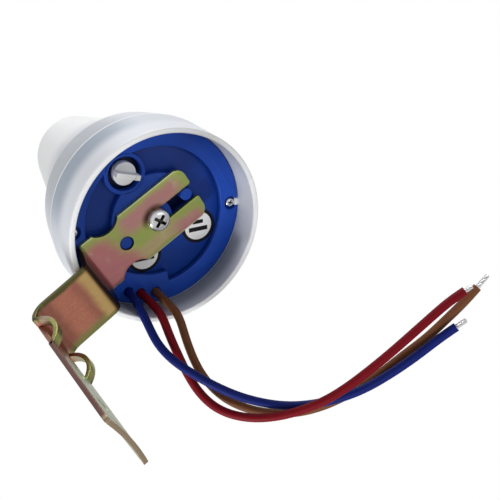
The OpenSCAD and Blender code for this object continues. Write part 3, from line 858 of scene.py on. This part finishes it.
@dataclass
class Screw(SubAssembly):
    """Pan-headed screw with a cross recess, head down."""

    name: str = "screw"
    head_r: float = 3.4
    head_h: float = 2.2
    cross_w: float = 1.25
    cross_taper: float = 0.6
    spots: Tuple[Tuple[float, float, float, float], ...] = ((0.0, 0.0, 8.05, 0.0),)
    node: str = "bracket_screw"

    def head(self) -> bmesh.types.BMesh:
        """Turns the head and a stub of the shank. Returns: The screw, its head's underside at z = 0."""
        r, h = self.head_r, self.head_h
        top = [(0.0, 0.0), (0.62, 0.03), (0.8, 0.09), (0.92, 0.23), (0.985, 0.39), (1.0, 0.55)]
        profile = [(r * x, h * (z - 1.0)) for x, z in top]
        shank = [(r, -0.12), (r * 0.96, 0.0), (r * 0.4, 0.0), (r * 0.4, 2.0), (0.0, 2.0)]
        return Shape.lathe(profile + shank, 64)

    def recess(self, turn: float) -> bmesh.types.BMesh:
        """Makes one bar of the cross that cuts the recess, its faces set to the second material, the
        painted shade inside the recess. Args: turn: Its turn. Returns: The bar.
        """
        made = bmesh.new()
        size = Matrix.Diagonal((self.head_r * 1.55, self.cross_w, self.head_h * 1.3, 1.0))
        place = Matrix.Translation((0, 0, -self.head_h)) @ size
        for v in bmesh.ops.create_cube(made, size=1.0, matrix=place)["verts"]:
            if v.co.z > -self.head_h:
                v.co.x *= self.cross_taper
                v.co.y *= self.cross_taper
        for face in made.faces:
            face.material_index = 1
        return Shape.moved(made, Matrix.Rotation(turn, 4, "Z"))

    def build(self) -> bpy.types.Object:
        """Makes every screw of the set as one piece. Returns: The piece."""
        heads = []
        for x, y, z, turn in self.spots:
            place = Matrix.Translation((x, y, z)) @ Matrix.Rotation(math.radians(turn), 4, "Z")
            one = self.piece("head", [Shape.moved(self.head(), place)])
            tools = [self.piece("tool", [Shape.moved(self.recess(a), place)]) for a in (0.0, math.pi / 2)]
            for part in (one, *tools):
                for finish in (Zinc.SCREW, Zinc.RECESS):
                    part.data.materials.append(self.finished(finish.value))
            for tool in tools:
                Shape.cut(one, tool)
            mesh = bmesh.new()
            mesh.from_mesh(one.data)
            heads.append(Shape.moved(mesh, Place.matrix().inverted()))
            bpy.data.objects.remove(one)
        made = self.dress(self.piece(self.name, heads), Zinc.SCREW.value, "bright_zinc", self.node)
        # The second material paints shade inside the cross recesses.
        made.data.materials.append(self.finished(Zinc.RECESS.value))
        return made


@dataclass
class Cap(SubAssembly):
    """The bell cap with its inner keys."""

    rim_r: float = 29.0
    wall: float = 1.6
    skirt_h: float = 16.0
    shoulder: Point2 = (26.4, 29.5)
    nose_r: float = 23.0
    nose_end_r: float = 14.4
    nose_round: float = 11.0
    height: float = 85.0
    flange_back: float = 11.7
    ledge_r: float = 26.4
    ledge_top: float = 21.0
    lip_round: float = 0.35
    key_angles: Point2 = (-59.5, 120.5)
    key_r: Point2 = (26.3, 28.0)
    key_half: float = 1.1
    key_z: Point2 = (9.5, 12.6)
    screw_at: Point2 = (24.7, 10.7)
    screw_turn: float = 20.0

    def outside(self) -> List[Tuple[float, float, float]]:
        """Lists the corners of the outside, each with its round. Returns: The corners from the rim up."""
        nose_z = self.height - self.nose_round
        lean = math.atan((self.nose_r - self.nose_end_r) / (nose_z - self.shoulder[1]))
        middle = self.nose_end_r - self.nose_round / math.cos(lean)
        end = []
        for k in range(17):
            a = lean + (math.pi / 2 - lean) * k / 16
            reach, rise = self.nose_round * math.cos(a), self.nose_round * math.sin(a)
            end.append((middle + reach, nose_z + rise, 0.0))
        low = [
            (self.rim_r, self.skirt_h, 0.5),
            (self.shoulder[0], self.shoulder[1], 1.2),
            (self.nose_r, self.shoulder[1], 0.7),
        ]
        return low + end + [(0.0, self.height, 0.0)]

    def build(self) -> None:
        """Turns the shell and adds the keys."""
        inner_r = self.rim_r - self.wall
        inside = [
            (0.0, self.height - self.wall, 0.0),
            (self.nose_end_r - self.wall - 3.0, self.height - self.wall - 1.6, 0.0),
            (self.nose_end_r - self.wall, self.height - self.nose_round, 0.0),
            (self.nose_r - self.wall, self.shoulder[1] - self.wall, 0.0),
            (self.shoulder[0] - self.wall, self.shoulder[1] - self.wall, 0.0),
            (self.ledge_r, self.ledge_top, 0.0),
            (self.ledge_r, self.flange_back, 0.0),
            (inner_r, self.flange_back, 0.0),
            (inner_r, 0.0, self.lip_round),
            (self.rim_r, 0.0, self.lip_round),
        ]
        shell = Shape.lathe(Shape.rounded(inside + self.outside()), 192)
        near, far = self.key_r
        screw_r, screw_z = self.screw_at
        keys, spots = [], []
        for angle in self.key_angles:
            key = Shape.plate(Shape.box(near, -self.key_half, far, self.key_half), [], *self.key_z, 0.2)
            keys.append(Shape.moved(key, Matrix.Rotation(math.radians(angle), 4, "Z")))
            spots.append((*Shape.polar(screw_r, angle), screw_z, angle + self.screw_turn))
        self.dress(self.piece("cap_shell", [shell, *keys], 30.0), MilkyPlastic(), "cap_plastic", "cap")
        Screw(
            name="flange_screws", head_r=1.4, head_h=1.2, cross_w=0.5, spots=tuple(spots), node="cap_screws"
        ).build()


@dataclass
class Base(SubAssembly):
    """The blue moulding in the cap's mouth, and the stickers in it."""

    # The last three values paint shade on the deep floors: full on the pocket and the well, partial on the
    # recess floor.
    blue: Moulding = Moulding(
        "blue_moulding", (0.011, 0.062, 0.4), 0.36, 0.12, 0.012, 0.0, 0.2, (11.0, 12.5, 0.85)
    )
    face: float = 9.3
    flange_r: float = 27.1
    flange_back: float = 11.7
    recess_r: float = 21.4
    floor: float = 11.6
    back: float = 13.6
    land: Tuple[float, float, float] = (18.0, 21.0, 75.0)
    seat_r: float = 13.5
    seat_x: float = 4.3
    boss_r: float = 5.3
    pocket_half: float = 3.2
    knob: Point2 = (-17.1, 0.0)
    well: Tuple[float, float, float] = (5.0, 6.15, 12.4)
    wire_r: float = 23.7
    wire_angles: Tuple[float, ...] = (54.5, 44.6, 32.7)
    wire_hole_r: float = 1.45
    notch_angles: Point2 = (-59.5, 120.5)
    notch_half: float = 1.3
    notch_r: Point2 = (24.7, 25.8)
    head_gap_r: float = 2.1
    step_z: float = 10.7
    cup_r: float = 22.4
    pocket_y: Point2 = (-13.4, -4.3)
    pocket_floor: Point2 = (12.6, 13.4)
    peg: Point2 = (11.2, 1.85)
    peg_z: Point2 = (8.5, 12.7)
    posts: Tuple[float, ...] = (90.0, 210.0, 330.0)
    post: Point2 = (18.5, 2.5)
    post_z: Point2 = (13.0, 20.0)
    sliver: float = 0.02

    def flange_outline(self, round_r: float) -> Outline:
        """Draws the flange with its two notches.

        Args:
            round_r: The radius of the round end of each notch, or 0 for a plain slot.

        Returns:
            The outline.
        """
        out: Outline = []
        half = self.notch_half
        screw_r, slot_r = self.notch_r
        gap = math.degrees(math.asin(half / self.flange_r))
        for angle in self.notch_angles:
            turn = Matrix.Rotation(math.radians(angle), 2)
            if round_r:
                open_at = math.degrees(math.asin(half / round_r))
                inner = Shape.arc(screw_r, 0.0, round_r, -open_at, -360.0 + open_at, 28)
            else:
                inner = [(slot_r, -half), (slot_r, half)]
            out += [tuple(turn @ Vector(p)) for p in inner]
            out += Shape.arc(0, 0, self.flange_r, angle + gap, angle + 180.0 - gap, 72)
        return out

    def recess_outline(self) -> Outline:
        """Draws the recess without the land. Returns: The outline."""
        land_r, start, end = self.land
        away, near = self.collar_meets(self.recess_r)
        return (
            Shape.arc(0, 0, self.recess_r, end, 180.0 - away, 48)
            + Shape.arc(*self.knob, self.collar_mid, near, 360.0 - near, 32)
            + Shape.arc(0, 0, self.recess_r, 180.0 + away, start + 360.0, 64)
            + Shape.arc(0, 0, land_r, start, end, 24)
        )

    @property
    def collar_mid(self) -> float:
        """The middle radius of the collar. Returns: The radius."""
        return (self.well[0] + self.well[1]) / 2

    def collar_meets(self, r: float) -> Point2:
        """Finds where a circle round the axis meets the collar's middle line.

        Args:
            r: The circle's radius.

        Returns:
            The angle from -x as seen from the axis, and the angle from +x as seen from the collar, both in
            degrees.
        """
        d = -self.knob[0]
        x = -(r * r - self.collar_mid**2 + d * d) / (2 * d)
        y = math.sqrt(r * r - x * x)
        return math.degrees(math.atan2(y, -x)), math.degrees(math.atan2(y, x + d))

    def seat_outline(self) -> Outline:
        """Draws the seat with the pocket in it. Returns: The outline."""
        cut = math.degrees(math.acos(self.seat_x / self.seat_r))
        side = math.degrees(math.asin(self.pocket_half / self.seat_r))
        bulge = math.degrees(math.asin(self.pocket_half / self.boss_r))
        away, near = self.collar_meets(self.seat_r)
        return (
            Shape.arc(0, 0, self.seat_r, cut, 180.0 - away, 32)
            + Shape.arc(*self.knob, self.collar_mid, near, -near, 20)
            + Shape.arc(0, 0, self.seat_r, 180.0 + away, 270.0 - side, 24)
            + Shape.arc(0, 0, self.boss_r, 270.0 - bulge, 270.0 + bulge, 20)
            + Shape.arc(0, 0, self.seat_r, 270.0 + side, 360.0 - cut, 6)
            + Shape.arc(*StickerPaper().centres[1], 5.5, 214.9, 145.1, 12)
        )

    def build(self) -> None:
        """Stacks the moulding's layers and lays the stickers in."""
        well_r, collar_r, well_z = self.well
        wires = [Shape.circle(*Shape.polar(self.wire_r, a), self.wire_hole_r, 32) for a in self.wire_angles]
        well_hole = Shape.circle(*self.knob, well_r, 64)
        collar = Shape.circle(*self.knob, collar_r, 72)
        cup = Shape.circle(0, 0, self.cup_r)
        recess = self.recess_outline()
        half, (low, high) = self.pocket_half, self.pocket_y
        plates = [
            (self.flange_outline(self.head_gap_r), [recess, *wires], self.face, self.step_z + 0.05, 0.18),
            (self.flange_outline(0.0), [recess, *wires], self.step_z, self.flange_back, self.sliver),
            (cup, [recess], self.face + 1.0, self.back, self.sliver),
            (cup, [well_hole, Shape.box(-half, low, half, high)], self.floor, self.back, self.sliver),
            (self.seat_outline(), [], self.face, self.floor + 0.3, 0.22),
            (Shape.box(-4.0, low - 1.1, 4.0, high + 0.8), [], *self.pocket_floor, self.sliver),
            (collar, [well_hole], self.face, well_z + 0.5, 0.22),
            (collar, [], well_z, well_z + 1.5, 0.05),
            (Shape.circle(0, 0, 4.0, 48), [], self.back - 0.2, 19.0, 0.1),
        ]
        layers = [Shape.plate(*plate) for plate in plates]
        for side in (-1, 1):
            layers.append(Shape.disc((0, self.peg[0] * side), self.peg[1], *self.peg_z, 0.3, 40))
        for angle in self.posts:
            layers.append(Shape.disc(Shape.polar(self.post[0], angle), self.post[1], *self.post_z, 0.1, 40))
        self.dress(self.piece("base_moulding", layers), self.blue, "base_plastic", "base")
        paper = StickerPaper()
        low, high = self.floor - 0.12, self.floor + 0.02
        discs = [Shape.disc(spot, paper.radius, low, high, 0.03, 72) for spot in paper.centres]
        self.dress(self.piece("stickers", discs), paper, "sticker_paper", "inspection_stickers")


@dataclass
class Adjuster(SubAssembly):
    """The sensitivity knob, which turns."""

    body: Body = Body.ADJUSTER
    white: Moulding = Moulding("white_moulding", (0.93, 0.93, 0.92), 0.4, 0.05, 0.01, 0.2)
    centre: Point2 = (-17.1, 0.0)
    disc_r: float = 3.4
    disc: Point2 = (9.4, 11.9)
    grip: Point2 = (7.2, 1.5)
    grip_top: float = 6.4
    rest_angle: float = -43.0

    def build(self) -> None:
        """Makes the disc, the grip and the stem."""
        long, wide = self.grip
        grip = Shape.box(-long / 2, -wide / 2, long / 2, wide / 2)
        dimple = Shape.circle(long / 2 - wide, 0, 0.37, 20)
        parts = [
            Shape.disc((0, 0), self.disc_r, *self.disc, 0.2, 72),
            Shape.plate(grip, [dimple], self.grip_top, self.grip_top + 0.8, 0.12),
            Shape.plate(grip, [], self.grip_top + 0.6, self.disc[0] + 0.3, 0.02),
            Shape.disc((0, 0), 1.6, self.disc[1] - 0.2, 16.5, 0.1, 32),
        ]
        turn = Matrix.Rotation(math.radians(self.rest_angle), 4, "Z")
        place = Matrix.Translation((*self.centre, 0)) @ turn
        knob = self.piece("knob", [Shape.moved(p, place) for p in parts])
        self.dress(knob, self.white, "knob_plastic", "adjust_knob")


@dataclass(frozen=True)
class Stretch:
    """One length of the strap's middle line, flat where mid is 0."""

    start: float
    point: Vector
    before: float
    after: float
    mid: float = 0.0


@dataclass
class Bracket(SubAssembly):
    """The folded strap, cut flat and then bent along its own path."""

    half: float = 8.9
    t: float = 1.25
    reach: float = 14.0
    fork_z: float = 8.675
    fold_y: float = 22.6
    riser_lean: float = 12.0
    arm_tilt: float = 3.4
    arm_rim: Point2 = (27.4, -2.125)
    rounds: Tuple[float, float, float] = (1.0, 1.8, 4.0)
    end_round: float = 1.2
    leg_y: float = 43.825
    drop: float = 58.0
    bow: Point2 = (0.7, 13.5)
    bow_half: float = 8.3
    wall_holes: Point2 = (26.0, 42.0)
    wall_hole_r: float = 2.2
    peg_hole: Point2 = (11.2, 2.1)
    slot_half: float = 2.4
    mouth_round: float = 0.8
    prong_round: float = 3.2
    waist: Tuple[float, float, float] = (12.0, 13.5, 5.6)
    waist_half: float = 4.664
    guide: Tuple[float, float, float] = (13.6, 3.6, 14.4)
    guide_w: float = 2.45
    lance_gap: float = 0.15
    path: List[Stretch] = field(default_factory=list)

    @staticmethod
    def along(heading: float) -> Vector:
        """Gives the way a heading points. Args: heading: Degrees below level. Returns: Its y and z."""
        return Vector((math.cos(math.radians(heading)), -math.sin(math.radians(heading))))

    @staticmethod
    def below(heading: float) -> Vector:
        """Gives the strap's underside. Args: heading: Degrees below level. Returns: Its y and z."""
        return Vector((-math.sin(math.radians(heading)), -math.cos(math.radians(heading))))

    def trace(self) -> float:
        """Lays out the middle line as straight and bent lengths. Returns: The strap's length."""
        slope = math.tan(math.radians(self.arm_tilt))
        lean = math.radians(self.riser_lean)
        rise = self.fork_z - self.arm_rim[1] + slope * (self.fold_y - self.arm_rim[0])
        riser = rise / (math.cos(lean) - slope * math.sin(lean))
        corner1 = Vector((self.fold_y, self.fork_z))
        corner2 = corner1 + riser * self.along(90 - self.riser_lean)
        corner3 = Vector((self.leg_y, self.arm_rim[1] - slope * (self.leg_y - self.arm_rim[0])))
        headings = [0.0, 90.0 - self.riser_lean, self.arm_tilt, 90.0]
        here, s = Vector((-self.reach, self.fork_z)), 0.0
        corners = (corner1, corner2, corner3)
        for corner, before, after, inside in zip(corners, headings, headings[1:], self.rounds):
            mid = inside + self.t / 2
            back = mid * math.tan(math.radians(abs(after - before)) / 2)
            start = corner - back * self.along(before)
            self.path.append(Stretch(s, here, before, before))
            s += (start - here).length
            self.path.append(Stretch(s, start, before, after, mid))
            s += mid * math.radians(abs(after - before))
            here = corner + back * self.along(after)
        self.path.append(Stretch(s, here, 90.0, 90.0))
        return s + here.y + self.drop

    def at(self, s: float) -> Tuple[Vector, float]:
        """Finds a place along the middle line.

        Args:
            s: The distance from the fork's tip.

        Returns:
            The place, as y and z, and the heading there.
        """
        part = [p for p in self.path if p.start <= max(s, 0.0)][-1]
        if not part.mid:
            return part.point + (s - part.start) * self.along(part.before), part.before
        way = 1.0 if part.after > part.before else -1.0
        heading = part.before + way * math.degrees((s - part.start) / part.mid)
        middle = part.point + way * part.mid * self.below(part.before)
        return middle - way * part.mid * self.below(heading), heading

    def leg_s(self, drop: float) -> float:
        """Turns a drop below the rim into a distance along. Args: drop: The drop. Returns: The distance."""
        return self.path[-1].start + drop + self.path[-1].point.y

    def outline(self, length: float) -> Outline:
        """Draws the strap cut flat.

        Args:
            length: The strap's length.

        Returns:
            The outline, as distance across and along.
        """
        waist_x, waist_y, waist_r = self.waist
        angle = math.degrees(math.asin(self.waist_half / waist_r))
        lance = self.half - self.guide_w - self.lance_gap
        top, low = (self.leg_s(self.guide[0] + side * self.guide_gap()) for side in (-1, 1))
        mouth, prong, end = self.mouth_round, self.prong_round, self.end_round
        right = (
            Shape.arc(0, self.reach, self.slot_half, 90, 0, 12)
            + Shape.arc(self.slot_half + mouth, mouth, mouth, 180, 270, 6)
            + Shape.arc(self.half - prong, prong, prong, -90, 0, 10)
            + Shape.arc(waist_x, self.reach + waist_y, waist_r, 180 + angle, 180 - angle, 16)
            + [(self.half, top), (lance, top), (lance, low), (self.half, low)]
            + Shape.arc(self.half - end, length - end, end, 0, 90, 8)
        )
        return right + [(-x, y) for x, y in right[:0:-1]]

    def guide_arc(self) -> Point2:
        """Works out the guides' arc. Returns: Its outer radius and its centre's distance from the leg."""
        _, high, long = self.guide
        r = (long * long / 4 + high * high) / (2 * high)
        return r, r - high - self.t / 2

    def guide_gap(self) -> float:
        """Works out the gap under a guide. Returns: Half its length."""
        r, out = self.guide_arc()
        return math.sqrt((r - self.t) ** 2 - (out - self.t / 2) ** 2) + 0.05

    def fold(self, v: Vector) -> Vector:
        """Bends a point of the flat strap.

        Args:
            v: The point: across, along, and up from the middle of the sheet.

        Returns:
            Its place in the cap's frame.
        """
        up = v.z
        drop = v.y - self.path[-1].start - self.path[-1].point.y
        depth, long = self.bow
        pole = (self.bow_half**2 + depth**2) / (2 * depth)
        if drop > self.drop - long:
            up -= max(0.0, depth * (drop - self.drop + long) / long - v.x * v.x / (2 * pole))
        place, heading = self.at(v.y)
        out = place - up * self.below(heading)
        return Vector((v.x, out.x, out.y))

    def guides(self) -> List[bmesh.types.BMesh]:
        """Makes the two pushed-out strips. Returns: The strips."""
        r, out = self.guide_arc()
        made = []
        ends = [math.degrees(math.acos((out - 0.3) / q)) for q in (r, r - self.t)]
        outline = Shape.arc(0, out, r, 270 - ends[0], 270 + ends[0], 28)
        outline += Shape.arc(0, out, r - self.t, 270 + ends[1], 270 - ends[1], 28)
        for side in (-1, 1):
            strip = Shape.plate(outline, [], 0.0, self.guide_w, 0.12)
            low = self.half - self.guide_w if side > 0 else -self.half
            turn = Matrix(((0, 0, 1, low), (0, 1, 0, self.leg_y), (-1, 0, 0, -self.guide[0]), (0, 0, 0, 1)))
            made.append(Shape.moved(strip, turn))
        return made

    def build(self) -> None:
        """Cuts, slices and folds the strap, then adds its guides."""
        length = self.trace()
        peg_y, peg_r = self.peg_hole
        holes = [Shape.circle(0, self.reach + peg_y, peg_r, 48)]
        holes += [Shape.circle(0, self.leg_s(d), self.wall_hole_r, 48) for d in self.wall_holes]
        strap = Shape.plate(self.outline(length), holes, -self.t / 2, self.t / 2, 0.13)
        across, along = Vector((1, 0, 0)), Vector((0, 1, 0))
        cuts = []
        for bend, after in zip(self.path[1::2], self.path[2::2]):
            cuts += [(along * (bend.start + (after.start - bend.start) * k / 12), along) for k in range(13)]
        cuts += [(along * (length - self.bow[1] * k / 8), along) for k in range(1, 10)]
        cuts += [(across * (self.half * k / 6), across) for k in range(-5, 6)]
        for point, normal in cuts:
            everything = [*strap.verts, *strap.edges, *strap.faces]
            bmesh.ops.bisect_plane(strap, geom=everything, dist=1e-5, plane_co=point, plane_no=normal)
        for v in strap.verts:
            v.co = self.fold(v.co)
        folded = self.piece("bracket_strap", [strap, *self.guides()], 40.0)
        self.dress(folded, PassivatedZinc(), "passivated_zinc", "bracket")
        Screw(name="strap_screw", spots=((0.0, 0.0, 8.05, -25.0),)).build()


class Hue(Enum):
    """The wires' insulation."""

    BLUE = Insulation("navy_insulation", (0.004, 0.012, 0.14))
    RED = Insulation("crimson_insulation", (0.18, 0.001, 0.007))
    BROWN = Insulation("brown_insulation", (0.17, 0.063, 0.026))


@dataclass
class FreeWire(SubAssembly):
    """One wire with its stripped end, along the CAD route in the part's frame."""

    hue: Hue = Hue.BLUE
    angle: float = 54.5
    route: Tuple[Tuple[float, float, float], ...] = ()
    diameter: float = 2.5
    strand_len: float = 3.6
    strand_d: float = 1.4
    hole_r: float = 23.7
    middle_angle: float = 44.6
    face: float = 9.3

    def line(self) -> List[Vector]:
        """Smooths the route. Returns: Points along the wire, in metres."""
        holes = [Shape.polar(self.hole_r, angle) for angle in (self.angle, self.middle_angle)]
        mouth, start = (Place.point(*hole, self.face) / Place.MM for hole in holes)
        knots = [mouth + Vector((0, 0, 1.7)), mouth] + [start + Vector(p) for p in self.route]
        held = [knots[0] * 2 - knots[1], *knots, knots[-1] * 2 - knots[-2]]
        out: List[Vector] = []
        for p, q, r, s in zip(held, held[1:], held[2:], held[3:]):
            for k in range(8):
                u = k / 8
                out.append(
                    p * ((1 - u) ** 3 / 6)
                    + q * ((3 * u**3 - 6 * u * u + 4) / 6)
                    + r * ((-3 * u**3 + 3 * u * u + 3 * u + 1) / 6)
                    + s * (u**3 / 6)
                )
        return [v * Place.MM for v in [*out, knots[-1]]]

    def strands(self, line: Sequence[Vector]) -> List[bmesh.types.BMesh]:
        """Twists the bare strands.

        Args:
            line: The wire's points.

        Returns:
            The strands, in the cap's frame.
        """
        home = Place.matrix().inverted()
        end, way = home @ line[-1], (line[-1] - line[-3]).normalized()
        u = way.orthogonal().normalized()
        v = way.cross(u)
        thin = self.strand_d / 6.2
        made = []
        for k in range(7):
            ring = 0.0 if k == 0 else self.strand_d / 2 - thin
            points = []
            for s in range(25):
                a = 2 * math.pi * (k / 6 + 0.55 * s / 24)
                step = self.strand_len * (s / 24) * (1.0 - 0.05 * (k % 3)) - 0.3
                points.append(end + way * step + (u * math.cos(a) + v * math.sin(a)) * ring)
            made.append(Shape.tube(points, thin, 8))
        return made

    def build(self) -> None:
        """Draws the wire and its bare end."""
        name = self.hue.name.lower()
        line = self.line()
        data = bpy.data.curves.new(f"{name}_lead", "CURVE")
        data.dimensions, data.bevel_depth, data.bevel_resolution = "3D", self.diameter / 2 * Place.MM, 6
        data.use_fill_caps = True
        spline = data.splines.new("POLY")
        spline.points.add(len(line) - 1)
        for knot, p in zip(spline.points, line):
            knot.co = (*p, 1.0)
        spline.use_smooth = True
        lead = bpy.data.objects.new(f"{name}_lead", data)
        bpy.context.collection.objects.link(lead)
        self.dress(lead, self.hue.value, f"{name}_insulation", f"{name}_wire")
        bare = self.piece(f"{name}_bare_end", self.strands(line), 60.0)
        self.dress(bare, Zinc.TINNED.value, "tinned_copper", f"{name}_strands")
        length = sum((b - a).length for a, b in zip(line, line[1:]))
        LOG.info("%s wire is %.1f mm long", name, length * 1000)


@dataclass
class Board(SubAssembly):
    """Everything inside the cap, which keeps its CAD shape."""

    finishes: Dict[str, Finish] = field(
        default_factory=lambda: {
            "potentiometer": Moulding("pot_moulding", (0.03, 0.08, 0.25), 0.5),
            "circuit_board": Moulding("phenolic", (0.35, 0.2, 0.08), 0.6, 0.2),
            "board_screws": Zinc.SCREW.value,
            "relay": Moulding("relay_moulding", (0.02, 0.06, 0.3), 0.35),
            "film_capacitor": Moulding("film_dip", (0.5, 0.22, 0.02), 0.3),
            "electrolytic_capacitor": Moulding("sleeve", (0.02, 0.02, 0.03), 0.3),
            "rectifier_diodes": Moulding("black_epoxy", (0.012, 0.012, 0.012), 0.5),
            "resistors": Moulding("lacquer", (0.45, 0.3, 0.15), 0.45),
            "transistor": Moulding("black_epoxy", (0.012, 0.012, 0.012), 0.5),
            "light_sensor": Moulding("sensor_face", (0.5, 0.14, 0.04), 0.2, 0.3),
            "sensor_leads": Zinc.TINNED.value,
            "solder_joints": Zinc.TINNED.value,
        }
    )

    def build(self) -> None:
        """Paints the nodes."""
        for node, finish in self.finishes.items():
            self.paint(node, finish)


@dataclass
class Studio:
    """Camera, lights, backdrop and floor, with lengths in metres in the part's frame."""

    right: Tuple[float, float, float] = (0.436969, -0.75116, -0.49479)
    up: Tuple[float, float, float] = (-0.686722, -0.633873, 0.355834)
    back: Tuple[float, float, float] = (-0.580922, 0.184295, -0.792821)
    eye: Tuple[float, float, float] = (-0.130062, -0.011926, -0.176069)
    focal_px: float = 883.591
    target: Tuple[float, float, float] = (0.005, -0.045, 0.03)
    photo_px: float = 500.0
    sensor_mm: float = 36.0
    floor_half: float = 3.0
    floor_z: float = -0.4
    soft: Colour = (0.95, 0.97, 1.0)
    soft_level: float = 0.25
    mirrored: float = 0.7
    lights: Tuple[Tuple[str, Tuple[float, float, float], float, float], ...] = (
        ("key", (-0.13, 0.6, -0.05), 0.35, 2.7),
        ("fill", (0.32, -0.04, 0.24), 0.15, 0.1),
        ("low", (-0.2, -0.475, 0.25), 0.14, 2.5),
    )

    def axes(self) -> Matrix:
        """Gives the camera's axes. Returns: A matrix with right, up and back as its columns."""
        return Matrix((self.right, self.up, self.back)).transposed()

    def build(self) -> None:
        """Sets the whole stage up."""
        self.camera()
        self.world()
        for name, offset, size, power in self.lights:
            self.light(name, offset, size, power)
        floor = bpy.data.meshes.new("floor")
        corners = Shape.box(-self.floor_half, -self.floor_half, self.floor_half, self.floor_half)
        floor.from_pydata([(*corner, self.floor_z) for corner in corners], [], [(0, 1, 2, 3)])
        ground = bpy.data.objects.new("floor", floor)
        floor.materials.append(FloorPaint().material())
        bpy.context.collection.objects.link(ground)

    def camera(self) -> None:
        """Puts the camera where the photo was taken from."""
        data = bpy.data.cameras.new("camera")
        data.sensor_width = self.sensor_mm
        data.lens = self.sensor_mm * self.focal_px / self.photo_px
        data.clip_start = 0.01
        made = bpy.data.objects.new("camera", data)
        made.matrix_world = Matrix.Translation(self.eye) @ self.axes().to_4x4()
        bpy.context.collection.objects.link(made)
        bpy.context.scene.camera = made

    def light(self, name: str, offset: Tuple[float, float, float], size: float, power: float) -> None:
        """Places one soft light.

        Args:
            name: The light's name.
            offset: Its place from the target along the camera's right, up and back, in metres.
            size: Its width, in metres.
            power: Its power, in watts.
        """
        data = bpy.data.lights.new(name, "AREA")
        data.size, data.energy = size, power
        made = bpy.data.objects.new(name, data)
        arm = self.axes() @ Vector(offset)
        made.location = Vector(self.target) + arm
        made.rotation_mode = "QUATERNION"
        made.rotation_quaternion = (-arm).to_track_quat("-Z", "Y")
        bpy.context.collection.objects.link(made)

    def world(self) -> None:
        """Makes a backdrop that the camera sees as white and the part sees as soft light."""
        g = Graph("studio", world=True)
        bpy.context.scene.world = g.done(Color=self.soft, Strength=self.soft_level)
        white = g.node("ShaderNodeBackground", inputs={"Color": (1.0, 1.0, 1.0), "Strength": 1.0})
        g.shown(white, 1.0, self.mirrored)
        bpy.context.scene.view_settings.view_transform = "Standard"


BLUE_ROUTE = (
    (-2.9, 2.8, -5.8), (1.6, 4.8, -12.8), (5.1, 6.3, -16.8), (8.6, 6.3, -21.8), (12.6, 4.8, -26.8),
    (17.6, 2.3, -31.8), (23.6, -1.2, -36.3), (29.1, -6.2, -40.8), (32.6, -11.7, -45.3),
    (34.6, -19.2, -50.3), (35.1, -27.2, -54.8), (34.1, -35.7, -58.3), (32.6, -44.2, -61.3),
    (31.1, -51.2, -63.3), (30.1, -56.7, -65.3),
)
RED_ROUTE = (
    (0.1, -0.2, -5.8), (2.1, -0.2, -12.3), (5.6, 1.8, -15.8), (11.1, 3.8, -19.8), (17.1, 5.8, -24.8),
    (22.1, 6.3, -29.3), (26, 4.8, -34.4), (28.9, 0.3, -40.5), (30.9, -5.7, -45), (31.8, -11.7, -48.5),
    (31.8, -19.6, -52.5), (30.3, -29.1, -55.5), (28.4, -39.1, -58), (27, -46.2, -59.4),
    (25.6, -53.2, -60.8), (24.1, -59.2, -62.3), (23.6, -64.2, -63.8),
)
BROWN_ROUTE = (
    (3.1, -3.7, -5.8), (5.6, -4.2, -12.3), (10.1, -1.7, -15.3), (15.1, 0.8, -19.3), (19.6, 2.3, -23.3),
    (24.1, 2.3, -27.8), (28.1, 0.8, -32.3), (32.3, -3.2, -37.6), (35.5, -8.8, -42.4), (37.3, -15.8, -46.7),
    (37.5, -24.4, -50.5), (36, -33.4, -54), (33.5, -43, -57), (32, -49.5, -59.5), (29.7, -56.7, -61.3),
    (27.7, -62.9, -62.9), (26.1, -68.2, -63.5),
)


def main() -> None:
    """Builds the whole scene."""
    logging.basicConfig(level=logging.INFO, format="%(name)s: %(message)s")
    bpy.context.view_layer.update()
    assemblies: List[SubAssembly] = [
        Cap(),
        Base(),
        Adjuster(),
        Bracket(),
        FreeWire(hue=Hue.BLUE, angle=54.5, route=BLUE_ROUTE),
        FreeWire(hue=Hue.RED, angle=44.6, route=RED_ROUTE, strand_len=2.6),
        FreeWire(hue=Hue.BROWN, angle=32.7, route=BROWN_ROUTE, strand_len=4.6),
        Board(),
    ]
    for assembly in assemblies:
        assembly.build()
    Studio().build()
    bpy.context.view_layer.update()


if __name__ == "__main__":
    main()
